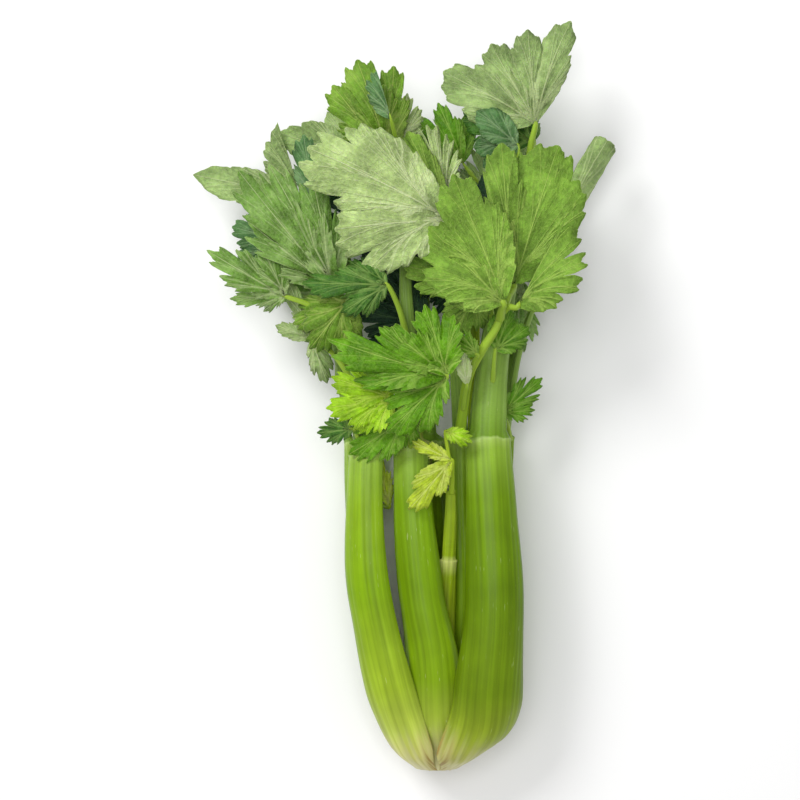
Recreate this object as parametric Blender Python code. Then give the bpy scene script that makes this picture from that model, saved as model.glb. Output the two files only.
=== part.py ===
"""A head of celery lying on a table: a root plate, crescent stalks, and leaves on thin stems.

Metres, +Z up. The head lies along Y, with its root plate at -Y and its leaves at +Y.
The tables below are in millimetres and degrees. Headings turn from +X (0) through +Y (90).
A turn says where a stalk's ribbed outer face looks: 0 is up, 90 is +X and 180 is down.
"""
import math
from collections import namedtuple

import bmesh
import bpy
import numpy as np

MM = 0.001

# Driving dimensions of the head.
HEAD_LENGTH = 424.0
ROOT_END = -HEAD_LENGTH / 2
ROOT_X = 21.0
ROOT_HEIGHT = 27.0
ROOT_RADIUS = 19.5
ROOT_THICKNESS = 8.0
ROOT_POINTS = 24
STALK_START = ROOT_END + ROOT_THICKNESS + 0.3

# Radii of the three layers of stalks around the root's axis.
OUTER, INNER, HEART = 19.5, 14.4, 9.3

# A stalk's cross-section: a crescent, thickest in the middle, which closes to a half-round rachis.
BASE_THICKNESS = 4.6
BELLY_THICKNESS = 8.0
BELLY_SPREAD = 56.0
RACHIS_SPREAD = 80.0
RACHIS_FILL = 0.75
FLATTEST = 0.6
EDGE_THINNING = 0.6
JOINT_SHARE = 0.77
OUTER_POINTS = 7
INNER_POINTS = 5
STALK_SECTIONS = 14
RACHIS_SECTIONS = 9
BRANCH_SECTIONS = 12

# Where along a stalk, as a share of its length, the heel ends and the belly begins.
HEEL = 0.16
HEEL_FLARE = 0.12
FLARE_START = 0.2
SWELL_END = 0.35
SPREAD_END = 0.4
TURN_END = 0.28
FLARE_END = 0.55
SECTION_CROWDING = 1.4
CURVE_STEPS = 12

# A leaf blade: its thickness, the rings of its mesh, and its stub at the stem.
BLADE_THICKNESS = 0.8
BLADE_RINGS = (0.36, 0.7, 1.0)
LOBE_RAYS = (-0.8, -0.4, 0.0, 0.4, 0.8)
STUB_RADIUS = 2.0
RAY_SPACING = 4.0

# A blade's outline: how wide its petals open for their slenderness, and how wide they may, in degrees.
OPENING = 82.0
WIDEST_OPENING = 75.0
WIDEST_HALF_OPENING = 95.0

# Colour, roughness of each skin.
SKINS = {
    "stalk": ((0.28, 0.42, 0.05), 0.4),
    "heart": ((0.42, 0.50, 0.09), 0.4),
    "root": ((0.56, 0.48, 0.27), 0.8),
    "mature": ((0.17, 0.33, 0.08), 0.5),
    "dark": ((0.09, 0.22, 0.05), 0.45),
    "olive": ((0.18, 0.31, 0.04), 0.45),
    "fresh": ((0.18, 0.38, 0.03), 0.45),
    "lime": ((0.33, 0.52, 0.04), 0.45),
    "yellow": ((0.48, 0.62, 0.06), 0.45),
    "blue": ((0.20, 0.33, 0.15), 0.5),
    "grey": ((0.31, 0.44, 0.21), 0.6),
    "pale": ((0.40, 0.60, 0.22), 0.6),
}

Stalk = namedtuple("Stalk", "skin layer base_turn base_spread turn flare width route rachis girth")

# Each route follows the crest of the outer face from just above the root to the joint, and each rachis
# goes on from there. girth is the width of the rachis at its first and last point.
STALKS = {
    "stalk_right": Stalk("stalk", OUTER, 54, 47, 6, 40, 32,
                         [(50, -200, 48), (49, -187, 58), (51, -163, 66), (54, -115, 71), (52, -60, 70),
                          (50, -22, 66)],
                         [(51, 0, 64), (54, 28, 61), (60, 66, 57), (67, 108, 53), (73, 134, 50)], (20, 6)),
    "stalk_left": Stalk("stalk", OUTER, -43, 44, -24, 30, 25,
                        [(5, -198, 45), (-3, -186, 51), (-10, -162, 59), (-17, -130, 63), (-22, -100, 66),
                         (-23, -68, 65), (-22, -30, 60)],
                        [(-25, 0, 57), (-32, 30, 54), (-37, 56, 50), (-45, 82, 46), (-53, 106, 42)], (11, 4)),
    "stalk_centre": Stalk("stalk", INNER, 3, 42, 0, 33, 24,
                          [(22, -198, 45), (20, -182, 52), (18, -145, 59), (12, -110, 61), (8, -70, 61),
                           (6, -27, 56)],
                          [(6, 0, 57), (5, 30, 59), (3, 62, 60), (3, 94, 54), (1, 124, 50)], (10, 4)),
    "heart_stalk_yellow": Stalk("heart", HEART, -2, 38, 10, 11, 11,
                                [(23, -185, 38.5), (25.5, -140, 44.5), (28, -92, 50)],
                                [(29, -70, 54), (29, -52, 58)], (7, 5)),
    "heart_stalk_dark": Stalk("stalk", HEART, 82, 40, 10, 15, 15,
                              [(36, -185, 31), (38, -115, 41), (36, -60, 44), (35, -24, 46)],
                              [(33, 6, 48), (31, 40, 52), (30, 76, 56), (27, 98, 58)], (8, 4)),
    "heart_stalk_left": Stalk("heart", HEART, -90, 42, -150, 20, 20,
                              [(11, -180, 19), (8, -125, 20), (7, -60, 22), (8, -26, 25)],
                              [(8, 10, 28), (6, 50, 31), (2, 84, 34)], (8, 4)),
    "heart_stalk_right": Stalk("heart", HEART, 184, 36, 150, 18, 18,
                               [(30, -182, 15), (42, -125, 19), (44, -60, 22), (44, -26, 25)],
                               [(44, 10, 28), (44, 50, 31), (46, 84, 34)], (8, 4)),
    "stalk_side_right": Stalk("stalk", INNER, 83, 29, 96, 20, 24,
                              [(46, -190, 28.6), (58, -150, 32), (64, -100, 34), (64, -60, 34),
                               (63, -24, 32)],
                              [(66, 4, 32), (72, 34, 34), (82, 62, 36), (92, 82, 38)], (9, 4)),
    "stalk_side_left": Stalk("stalk", INNER, -103, 23, -96, 18, 24,
                             [(-2, -188, 27), (-17, -150, 28), (-29, -100, 34), (-31, -60, 34),
                              (-32, -26, 32)],
                             [(-35, 4, 30), (-40, 34, 28), (-46, 66, 30), (-54, 88, 34)], (9, 4)),
    "stalk_rear_right": Stalk("stalk", INNER, 151, 27, 168, 22, 24,
                              [(44, -187, 11), (53, -145, 4), (54, -95, 1.5), (56, -55, 3), (58, -20, 8)],
                              [(62, 8, 12), (65, 40, 16), (68, 74, 20)], (9, 4)),
    "stalk_rear_middle": Stalk("stalk", OUTER, 182, 33, 180, 23, 26,
                               [(21, -192, 2.5), (19, -150, 0.5), (17, -100, 0.5), (16, -60, 2),
                                (16, -24, 6)],
                               [(15, 6, 10), (14, 40, 13), (13, 78, 16), (13, 110, 18)], (10, 4)),
    "stalk_rear_left": Stalk("stalk", INNER, -153, 24.5, -172, 17, 20,
                             [(0, -187, 8.5), (-15, -145, 4), (-20, -95, 1.5), (-21, -55, 3), (-21, -22, 8)],
                             [(-23, 8, 12), (-26, 40, 15), (-30, 72, 18), (-34, 98, 20)], (9, 4)),
}

# The side branch that forks off at the joint of the right stalk: its route, and its first and last width.
BRANCH_ROUTE = [(33, -25, 60), (35, -8, 65), (38, 12, 70), (45, 26, 74), (53, 39, 79), (60, 58, 82)]
BRANCH_GIRTH = (8.5, 5)

Lobe = namedtuple("Lobe", "heading length width lift half", defaults=[0])
Leaf = namedtuple("Leaf", "skin base fold bow lobes")

# Each leaf starts at the end of its stem. fold is how steeply its halves drop from the midrib, and bow is
# how far the midrib arches above a straight line. A lobe whose half is 1 or -1 is folded at its midrib, and
# has only its left or right half.
LEAVES = {
    "leaf_front_centre": Leaf("fresh", (26, 12, 87), -4, 4, [
        Lobe(107, 40, 38, 6), Lobe(140, 43, 24, 5), Lobe(164, 66, 36, 8), Lobe(184, 50, 15, -2),
        Lobe(222, 44, 34, -7)]),
    "leaf_front_left": Leaf("lime", (-3, 0, 76), 4, 4, [
        Lobe(162, 36, 26, -2), Lobe(189, 37, 28, 0), Lobe(217, 28, 22, -2)]),
    "leaf_front_low": Leaf("fresh", (8, -8, 69), 4, 2, [Lobe(214, 42, 30, -3), Lobe(246, 21, 22, -3)]),
    "leaf_low_left": Leaf("dark", (-26, -17, 63), 8, 1, [Lobe(186, 20, 17, -2)]),
    "leaf_right_big": Leaf("fresh", (57, 52, 88), 3, 5, [
        Lobe(111, 73, 36, 8), Lobe(136, 57, 44, 3), Lobe(158, 40, 24, 0)]),
    "leaf_right_back": Leaf("dark", (63, 62, 74), 2, 4, [Lobe(74, 78, 46, 10), Lobe(97, 76, 22, 12)]),
    "leaf_right_ribbed": Leaf("dark", (64, 50, 88), 3, 3, [Lobe(62, 54, 60, 2, -1)]),
    "leaf_inner_right": Leaf("fresh", (46, 64, 67), 6, 4, [Lobe(168, 44, 27, 2), Lobe(240, 32, 30, -2)]),
    "leaf_dark_centre": Leaf("dark", (-7, 63, 76), 8, 4, [
        Lobe(148, 25, 18, -8), Lobe(179, 46, 20, -2), Lobe(212, 29, 20, -4)]),
    "leaf_low_olive": Leaf("olive", (-28, 56, 66), 6, 4, [
        Lobe(205, 34, 24, -8), Lobe(232, 35, 32, -2), Lobe(262, 34, 20, -10)]),
    "leaf_left_folded": Leaf("grey", (-50, 34, 50), 20, 3, [
        Lobe(110, 33, 14, 6), Lobe(160, 21, 12, 0), Lobe(290, 26, 16, -2)]),
    "leaf_left_tip": Leaf("mature", (-64, 57, 62), 4, 3, [
        Lobe(116, 31, 22, 5), Lobe(151, 49, 30, 6), Lobe(182, 31, 16, -8), Lobe(212, 15, 9, -8)]),
    "leaf_left_big": Leaf("mature", (-35, 60, 60), -3, 5, [
        Lobe(103, 64, 26, 11), Lobe(117, 77, 26, 14), Lobe(131, 83, 30, 16), Lobe(144, 61, 26, 10)]),
    "leaf_left_grey": Leaf("blue", (-64, 88, 50), 2, 2, [Lobe(163, 31, 20, 2), Lobe(196, 28, 13, 0)]),
    "leaf_far_left": Leaf("grey", (-56, 112, 42), 2, 4, [
        Lobe(104, 45, 50, 6, 1), Lobe(164, 62, 34, -4)]),
    "leaf_left_blue": Leaf("blue", (-48, 110, 56), 12, 2, [Lobe(76, 34, 16, -3), Lobe(101, 38, 19, 0)]),
    "leaf_back_left": Leaf("grey", (-24, 138, 40), -4, 3, [Lobe(124, 30, 26, 0), Lobe(166, 45, 40, 2)]),
    "leaf_top": Leaf("mature", (-6, 134, 60), 4, 5, [
        Lobe(88, 50, 18, 2), Lobe(107, 56, 26, 8), Lobe(128, 50, 24, 5)]),
    "leaf_top_folded": Leaf("blue", (-5, 154, 80), 10, 3, [Lobe(104, 28, 18, 3, 1)]),
    "leaf_top_small": Leaf("grey", (0, 140, 54), 6, 3, [Lobe(60, 24, 14, 0), Lobe(84, 31, 22, 2)]),
    "leaf_ribbed": Leaf("grey", (28, 112, 62), 14, 4, [Lobe(114, 44, 32, 2, -1)]),
    "leaf_back_dark": Leaf("dark", (36, 134, 38), 8, 3, [
        Lobe(88, 27, 13, -1), Lobe(112, 36, 14, 6), Lobe(138, 35, 24, 3)]),
    "leaf_blue_shine": Leaf("blue", (66, 142, 60), -6, 3, [
        Lobe(141, 29, 22, 2), Lobe(180, 24, 22, 0), Lobe(212, 22, 16, -3)]),
    "leaf_top_right": Leaf("grey", (76, 154, 58), 12, 6, [
        Lobe(80, 59, 20, 2, 0), Lobe(96, 51, 24, 3), Lobe(120, 50, 34, -3), Lobe(148, 58, 34, -6)]),
    "leaf_top_right_under": Leaf("dark", (76, 146, 42), -4, 3, [
        Lobe(100, 18, 12, -4), Lobe(156, 42, 30, -4)]),
    "leaf_right_rolled": Leaf("grey", (84, 88, 44), 30, 4, [Lobe(62, 64, 15, 10)]),
    "leaf_centre_pale": Leaf("pale", (27, 99, 84), 2, 5, [Lobe(152, 84, 42, 5), Lobe(186, 61, 42, -1)]),
    "leaf_centre_folded": Leaf("mature", (26, 103, 69), 12, 3, [
        Lobe(114, 49, 15, 3), Lobe(127, 51, 16, 6)]),
    "leaf_right_low": Leaf("dark", (58, -8, 46), -4, 3, [Lobe(6, 18, 16, 0), Lobe(43, 29, 18, 2)]),
    "leaf_right_edge": Leaf("mature", (53, 27, 70), 6, 3, [Lobe(36, 22, 18, 2), Lobe(68, 24, 20, 2)]),
    "leaf_small_pale": Leaf("lime", (37, 7, 78), 6, 2, [Lobe(99, 22, 11, 4)]),
    "leaf_small_green": Leaf("fresh", (43, 24, 79), 4, 2, [Lobe(128, 17, 11, 0), Lobe(158, 24, 13, -2)]),
    "heart_leaf_yellow": Leaf("yellow", (29, -34, 66), 4, 3, [
        Lobe(157, 24, 10, 8), Lobe(229, 36, 20, 4)]),
    "heart_leaf_curled": Leaf("lime", (25, -18, 74), 16, 3, [Lobe(338, 16, 12, 2)]),
    "heart_leaf_gap": Leaf("yellow", (-6, -62, 36), 8, 3, [Lobe(104, 32, 13, 3)]),
    "rear_leaf_centre": Leaf("dark", (16, 42, 40), 4, 3, [
        Lobe(136, 40, 28, 2), Lobe(168, 44, 30, 0), Lobe(204, 38, 26, -2)]),
    "rear_leaf_left_low": Leaf("mature", (-42, 58, 16), 4, 4, [Lobe(152, 52, 30, -6)]),
    "rear_leaf_left_high": Leaf("grey", (-50, 98, 26), 4, 4, [Lobe(140, 48, 30, -6)]),
    "rear_leaf_left_side": Leaf("mature", (-36, 26, 22), 6, 3, [Lobe(132, 32, 20, -4)]),
    "rear_leaf_middle": Leaf("dark", (14, 62, 29), 4, 4, [
        Lobe(62, 44, 30, -4), Lobe(100, 46, 34, -2), Lobe(150, 42, 30, -4)]),
    "rear_leaf_top_left": Leaf("mature", (-6, 116, 24), 4, 4, [
        Lobe(112, 50, 32, -8), Lobe(156, 46, 32, -6)]),
    "rear_leaf_top": Leaf("mature", (18, 116, 22), 4, 4, [Lobe(84, 42, 32, -8)]),
    "rear_leaf_inner": Leaf("dark", (0, 86, 38), 4, 4, [Lobe(104, 44, 34, 2), Lobe(140, 58, 36, 2)]),
    "rear_leaf_top_right": Leaf("grey", (56, 108, 26), 4, 4, [
        Lobe(72, 44, 28, -8), Lobe(106, 40, 26, -4), Lobe(136, 34, 20, 0)]),
    "rear_leaf_right": Leaf("mature", (70, 68, 24), 4, 4, [
        Lobe(48, 34, 26, -8), Lobe(84, 42, 26, -6), Lobe(264, 42, 26, 0)]),
    "rear_leaf_inner_right": Leaf("dark", (44, 84, 38), 4, 4, [
        Lobe(80, 44, 34, 2), Lobe(124, 38, 30, 0), Lobe(218, 40, 30, -2), Lobe(252, 50, 32, 0),
        Lobe(286, 42, 26, -4)]),
}


def clear_scene():
    """Remove whatever the file holds."""
    for item in list(bpy.data.objects):
        bpy.data.objects.remove(item, do_unlink=True)


def skin_material(name):
    """One plain Principled material for each skin, shared by its pieces."""
    material = bpy.data.materials.get(name)
    if material:
        return material
    colour, roughness = SKINS[name]
    material = bpy.data.materials.new(name)
    material.use_nodes = True
    shader = material.node_tree.nodes["Principled BSDF"]
    shader.inputs["Base Color"].default_value = (*colour, 1.0)
    shader.inputs["Roughness"].default_value = roughness
    shader.inputs["Metallic"].default_value = 0.0
    return material


def add_solid(name, points, faces, skin, smooth):
    """A closed solid from points in millimetres, with its faces turned outward."""
    mesh = bpy.data.meshes.new(name)
    mesh.from_pydata([tuple(np.asarray(point) * MM) for point in points], [], faces)
    edit = bmesh.new()
    edit.from_mesh(mesh)
    bmesh.ops.recalc_face_normals(edit, faces=edit.faces)
    edit.to_mesh(mesh)
    edit.free()
    if smooth:
        mesh.shade_smooth()
    mesh.materials.append(skin_material(skin))
    solid = bpy.data.objects.new(name, mesh)
    bpy.context.scene.collection.objects.link(solid)
    return solid


def blend(low, high, share):
    """A smooth step from low to high as share goes from 0 to 1."""
    share = min(max(share, 0.0), 1.0)
    return low + (high - low) * share * share * (3.0 - 2.0 * share)


def smooth_path(points, shares):
    """Points on a Catmull-Rom curve through the given ones, at shares of its length."""
    points = np.asarray(points, dtype=float)
    ends = np.vstack([2 * points[0] - points[1], points, 2 * points[-1] - points[-2]])
    curve = []
    for index in range(1, len(ends) - 2):
        before, start, end, after = ends[index - 1:index + 3]
        for step in np.linspace(0.0, 1.0, CURVE_STEPS, endpoint=False):
            curve.append(0.5 * (2 * start + (end - before) * step
                                + (2 * before - 5 * start + 4 * end - after) * step ** 2
                                + (3 * start - before - 3 * end + after) * step ** 3))
    curve.append(points[-1])
    curve = np.array(curve)
    lengths = np.concatenate([[0.0], np.cumsum(np.linalg.norm(np.diff(curve, axis=0), axis=1))])
    wanted = lengths[-1] * np.asarray(shares)
    return np.stack([np.interp(wanted, lengths, curve[:, axis]) for axis in range(3)], axis=1)


def crescent(crest, tangent, turn, width, spread, thickness):
    """One cross-section: an outer arc through the crest, and an inner arc that meets it near the edges."""
    angle = math.radians(turn)
    outward = np.array([math.sin(angle), 0.0, math.cos(angle)])
    outward -= tangent * outward.dot(tangent)
    outward /= np.linalg.norm(outward)
    side = np.cross(tangent, outward)
    half = math.radians(spread)
    radius = width / 2 / math.sin(half)
    ring = []
    for theta in np.linspace(-half, half, OUTER_POINTS):
        ring.append(crest + side * radius * math.sin(theta) + outward * radius * (math.cos(theta) - 1))
    for theta in np.linspace(half, -half, INNER_POINTS):
        inner = radius - thickness * (1 - EDGE_THINNING * (theta / half) ** 2)
        ring.append(crest + side * inner * math.sin(theta) + outward * (inner * math.cos(theta) - radius))
    return ring


def loft(name, rings, skin):
    """A closed solid through rings of equally many points, with flat ends."""
    count = len(rings[0])
    faces = []
    for ring in range(len(rings) - 1):
        for index in range(count):
            following = (index + 1) % count
            near, far = ring * count, (ring + 1) * count
            faces.append((near + index, near + following, far + following, far + index))
    faces.append(tuple(range(count)))
    faces.append(tuple(range((len(rings) - 1) * count, len(rings) * count)))
    points = [point for ring in rings for point in ring]
    return add_solid(name, points, faces, skin, smooth=True)


def tangents(path, heel):
    """Unit tangents along a path, which all point straight along the head in its heel."""
    slopes = np.gradient(path, axis=0)
    slopes /= np.linalg.norm(slopes, axis=1)[:, None]
    ahead = np.array([0.0, 1.0, 0.0])
    slopes = np.array([blend(ahead, slope, share) for slope, share in zip(slopes, heel)])
    return slopes / np.linalg.norm(slopes, axis=1)[:, None]


def stalk_width(stalk, climb):
    """How wide a stalk is below its joint: it flares out of the root, and narrows again towards the joint."""
    base_width = 2 * stalk.layer * math.sin(math.radians(stalk.base_spread))
    width = blend(base_width, stalk.flare, climb / HEEL_FLARE)
    width = blend(width, stalk.width, (climb - FLARE_START) / (FLARE_END - FLARE_START))
    return blend(width, stalk.width * JOINT_SHARE, (climb - FLARE_END) / (1 - FLARE_END))


def make_stalk(name, stalk):
    """A stalk and the rachis that it grows into, as one solid."""
    base_angle = math.radians(stalk.base_turn)
    base = (ROOT_X + stalk.layer * math.sin(base_angle), STALK_START,
            ROOT_HEIGHT + stalk.layer * math.cos(base_angle))
    climbs = np.linspace(0.0, 1.0, STALK_SECTIONS) ** SECTION_CROWDING
    beyond = np.linspace(0.0, 1.0, RACHIS_SECTIONS)[1:]
    lower = smooth_path([base, *stalk.route], climbs)
    upper = smooth_path([stalk.route[-1], *stalk.rachis], beyond)
    path = np.vstack([lower, upper])
    slopes = tangents(path, np.concatenate([climbs / HEEL, np.ones_like(beyond)]))
    rings = []
    for crest, tangent, climb in zip(path, slopes, climbs):
        turn = blend(stalk.base_turn, stalk.turn, climb / TURN_END)
        width = stalk_width(stalk, climb)
        spread = blend(stalk.base_spread, BELLY_SPREAD, climb / SPREAD_END)
        thickness = min(blend(BASE_THICKNESS, BELLY_THICKNESS, climb / SWELL_END), FLATTEST * width)
        rings.append(crescent(crest, tangent, turn, width, spread, thickness))
    for crest, tangent, share in zip(upper, slopes[STALK_SECTIONS:], beyond):
        first, last = stalk.girth
        width = first + (last - first) * share
        spread = blend(BELLY_SPREAD, RACHIS_SPREAD, 2 * share)
        radius = width / 2 / math.sin(math.radians(spread))
        thickness = min(BELLY_THICKNESS, RACHIS_FILL * radius)
        rings.append(crescent(crest, tangent, stalk.turn, width, spread, thickness))
    return loft(name, rings, stalk.skin)


def make_branch():
    """The side branch of the right stalk."""
    shares = np.linspace(0.0, 1.0, BRANCH_SECTIONS)
    path = smooth_path(BRANCH_ROUTE, shares)
    first, last = BRANCH_GIRTH
    rings = []
    for crest, tangent, share in zip(path, tangents(path, np.ones_like(shares)), shares):
        width = first + (last - first) * share
        radius = width / 2 / math.sin(math.radians(RACHIS_SPREAD))
        rings.append(crescent(crest, tangent, 0, width, RACHIS_SPREAD, RACHIS_FILL * radius))
    return loft("stalk_right_branch", rings, "stalk")


def make_root_plate():
    """The cut root: a short disc with a rounded cut edge, turned about the head's axis."""
    profile = [(0.6, 0.0), (0.68, 0.06), (0.94, 0.6), (1.0, 1.0)]
    rings = []
    for share, depth in profile:
        ring = []
        for angle in np.linspace(0.0, 2 * math.pi, ROOT_POINTS, endpoint=False):
            radius = ROOT_RADIUS * share
            ring.append((ROOT_X + radius * math.cos(angle), ROOT_END + depth * ROOT_THICKNESS,
                         ROOT_HEIGHT + radius * math.sin(angle)))
        rings.append(ring)
    return loft("root_plate", rings, "root")


def half_opening(lobe):
    """Half the angle that a lobe's petal-shaped outline opens at its base, in degrees."""
    widest = WIDEST_HALF_OPENING if lobe.half else WIDEST_OPENING
    return min(widest, OPENING * lobe.width / lobe.length)


def reach(lobes, heading):
    """How far the blade reaches at a heading, and the lobe that reaches there."""
    best, owner = STUB_RADIUS, lobes[0]
    for lobe in lobes:
        share = (heading - lobe.heading) / half_opening(lobe)
        missing = share * lobe.half < 0
        length = lobe.length * math.cos(share * math.pi / 2) if abs(share) < 1 and not missing else 0.0
        if length > best:
            best, owner = length, lobe
    return best, owner


def ray_headings(lobes):
    """Headings of the rays that a blade's mesh is built on, each lobe's midrib among them."""
    headings = [lobe.heading for lobe in lobes]
    for lobe in lobes:
        for share in LOBE_RAYS:
            heading = lobe.heading + share * half_opening(lobe)
            if share * lobe.half >= 0 and min(abs(heading - other) for other in headings) > RAY_SPACING:
                headings.append(heading)
    return sorted(headings)


def make_leaf(name, leaf):
    """A thin blade: rays from the stem's end to the outline, thickened straight up and down."""
    steepness = math.tan(math.radians(leaf.fold))
    top = [np.array(leaf.base, dtype=float)]
    headings = ray_headings(leaf.lobes)
    for heading in headings:
        length, lobe = reach(leaf.lobes, heading)
        aside = abs(math.sin(math.radians(heading - lobe.heading)))
        for share in BLADE_RINGS:
            distance = length * share
            along = min(distance / lobe.length, 1.0)
            rise = lobe.lift * along + leaf.bow * math.sin(math.pi * along) - distance * aside * steepness
            angle = math.radians(heading)
            top.append(top[0] + np.array([distance * math.cos(angle), distance * math.sin(angle), rise]))
    rings = len(BLADE_RINGS)
    surface = []
    for ray in range(len(headings) - 1):
        near, far = 1 + ray * rings, 1 + (ray + 1) * rings
        surface.append((0, near, far))
        for ring in range(rings - 1):
            surface.append((near + ring, near + ring + 1, far + ring + 1))
            surface.append((near + ring, far + ring + 1, far + ring))
    rim = [0] + list(range(1, rings + 1))
    rim += [1 + ray * rings + rings - 1 for ray in range(1, len(headings) - 1)]
    rim += list(range(len(top) - 1, len(top) - 1 - rings, -1))
    half = np.array([0.0, 0.0, BLADE_THICKNESS / 2])
    points = [point + half for point in top] + [point - half for point in top]
    below = len(top)
    faces = surface + [tuple(below + index for index in reversed(face)) for face in surface]
    for index, corner in enumerate(rim):
        following = rim[(index + 1) % len(rim)]
        faces.append((corner, below + corner, below + following))
        faces.append((corner, below + following, following))
    return add_solid(name, points, faces, leaf.skin, smooth=False)


clear_scene()
make_root_plate()
for stalk_name, stalk_shape in STALKS.items():
    make_stalk(stalk_name, stalk_shape)
make_branch()
for leaf_name, leaf_shape in LEAVES.items():
    make_leaf(leaf_name, leaf_shape)
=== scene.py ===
"""A head of celery lying on a pale table, seen from straight above.

The frame is in metres. The tables and the shape functions below work in millimetres and degrees, in the same
frame: the head lies along Y, its root at -Y. Headings turn from +X (0) through +Y (90). A turn says where a
stalk's ribbed outer face looks: 0 is up, 90 is +X and 180 is down.
"""

import math
from collections import namedtuple
from functools import partial

import bmesh
import bpy
import mathutils
import numpy as np
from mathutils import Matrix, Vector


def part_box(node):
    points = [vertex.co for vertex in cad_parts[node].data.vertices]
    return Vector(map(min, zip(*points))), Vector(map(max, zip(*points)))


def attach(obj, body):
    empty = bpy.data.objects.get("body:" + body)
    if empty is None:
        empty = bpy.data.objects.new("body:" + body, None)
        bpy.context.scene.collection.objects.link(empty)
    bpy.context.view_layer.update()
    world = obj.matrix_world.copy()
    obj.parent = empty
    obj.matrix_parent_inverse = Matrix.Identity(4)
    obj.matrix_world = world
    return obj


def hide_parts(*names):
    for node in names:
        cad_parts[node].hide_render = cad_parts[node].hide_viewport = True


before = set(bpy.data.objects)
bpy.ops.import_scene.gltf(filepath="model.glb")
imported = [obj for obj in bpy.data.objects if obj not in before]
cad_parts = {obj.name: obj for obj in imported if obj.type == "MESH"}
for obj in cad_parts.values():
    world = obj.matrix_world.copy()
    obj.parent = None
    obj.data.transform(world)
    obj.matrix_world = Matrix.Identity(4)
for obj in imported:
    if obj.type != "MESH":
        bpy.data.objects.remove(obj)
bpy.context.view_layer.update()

MM = 0.001

# The head's axis, read from the frame: the middle of the cut root's box.
root_low, root_high = (np.array(corner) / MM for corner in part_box("root_plate"))
ROOT_X = (root_low[0] + root_high[0]) / 2
ROOT_HEIGHT = (root_low[2] + root_high[2]) / 2
ROOT_END = root_low[1]
ROOT_THICKNESS = root_high[1] - root_low[1]
ROOT_RADIUS = (root_high[0] - root_low[0]) / 2

# A heart stalk starts this far inside the root.
HEART_OVERLAP = 0.4

# The skin of every other stalk runs on down over the root to the rim of the cut, at this share of its radius.
CUT_SHARE = 0.62
CUT_DEPTH = 0.3
CUT_THICKNESS = 1.4

# The root's outline, as shares of its radius and of its thickness, from the middle of the cut to the stalks.
ROOT_PROFILE = [(0.02, 0.10), (0.2, 0.08), (0.4, 0.03), (0.54, 0.0), (0.59, 0.02), (0.61, 0.1), (0.63, 0.4),
                (0.64, 0.7), (0.6, 1.0)]
ROOT_SECTIONS = 40
ROOT_POINTS = 144
ROOT_UNEVENNESS = 0.035
ROOT_ROUGHNESS = 0.25

# The cut face is rough out to this share of the root's radius.
CUT_EDGE = 0.6

# The rings of strands in the cut: the share of the root's radius and the number of strands in each.
STRAND_RINGS = [(0.22, 13), (0.36, 24), (0.50, 34)]
STRAND_SIZE = 0.42
STRAND_INSET = 0.35
STRAND_JITTER = 0.6

# The seeds of the root's unevenness and of its strands' places.
ROOT_SEED = 3
STRAND_SEED = 5

# No skin lies lower than this over the table.
LOWEST = 0.7

# Radii of the three layers of stalks around the root's axis.
OUTER, INNER, HEART = 19.5, 14.4, 9.3
SKIN_LIFT = {OUTER: 0.6, INNER: 0.1}

# The shoulder of an outer stalk's heel: shares of the way from the rim of the cut to its route, along X, Y
# and Z.
SHOULDER = (0.55, 0.35, 0.55)

# A stalk's cross-section: a crescent, thickest in the middle, which closes to a half-round rachis. Its route
# runs along its outer face, and its lips lie a share of its thickness below that.
BASE_THICKNESS = 4.6
BELLY_THICKNESS = 8.0
BELLY_SPREAD = 56.0
RACHIS_SPREAD = 80.0
RACHIS_FILL = 0.75
FLATTEST = 0.6
LIP_DEPTH = 0.42
LIP_ROUNDING = 0.55

# The joint: its width as a share of the stalk's, the share of the rachis that narrows after it, and how far
# its ring stands out and how long the ring is.
JOINT_SHARE = 0.77
JOINT_LENGTH = 0.035
JOINT_RING = 0.9
JOINT_RING_LENGTH = 0.009

# A stalk's mesh: the points of a section and the sections below and past the joint. More sections stand close
# to the joint, in the last share of the stalk and the first of the rachis.
OUTER_POINTS = 64
INNER_POINTS = 16
STALK_SECTIONS = 64
SECTION_CROWDING = 1.4
RACHIS_SECTIONS = 30
JOINT_SECTIONS = 14
JOINT_FINE = 0.05
RACHIS_FINE = 0.06
CURVE_STEPS = 12

# The ribs of a stalk, and how uneven its belly is.
RIB_SPACING = 3.8
RIB_DEPTH = 0.34
STALK_UNEVENNESS = 1.0

# How far apart the patterns of a stalk's two faces and of two stalks lie, so that none repeats another.
FACES_APART = 40.0
STALKS_APART = 50.0

# Where along a stalk, as a share of its length, the heel ends and the belly begins.
HEEL = 0.16
HEEL_FLARE = 0.1
FLARE_START = 0.2
SWELL_END = 0.35
SPREAD_END = 0.4
TURN_END = 0.28
FLARE_END = 0.55

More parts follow.
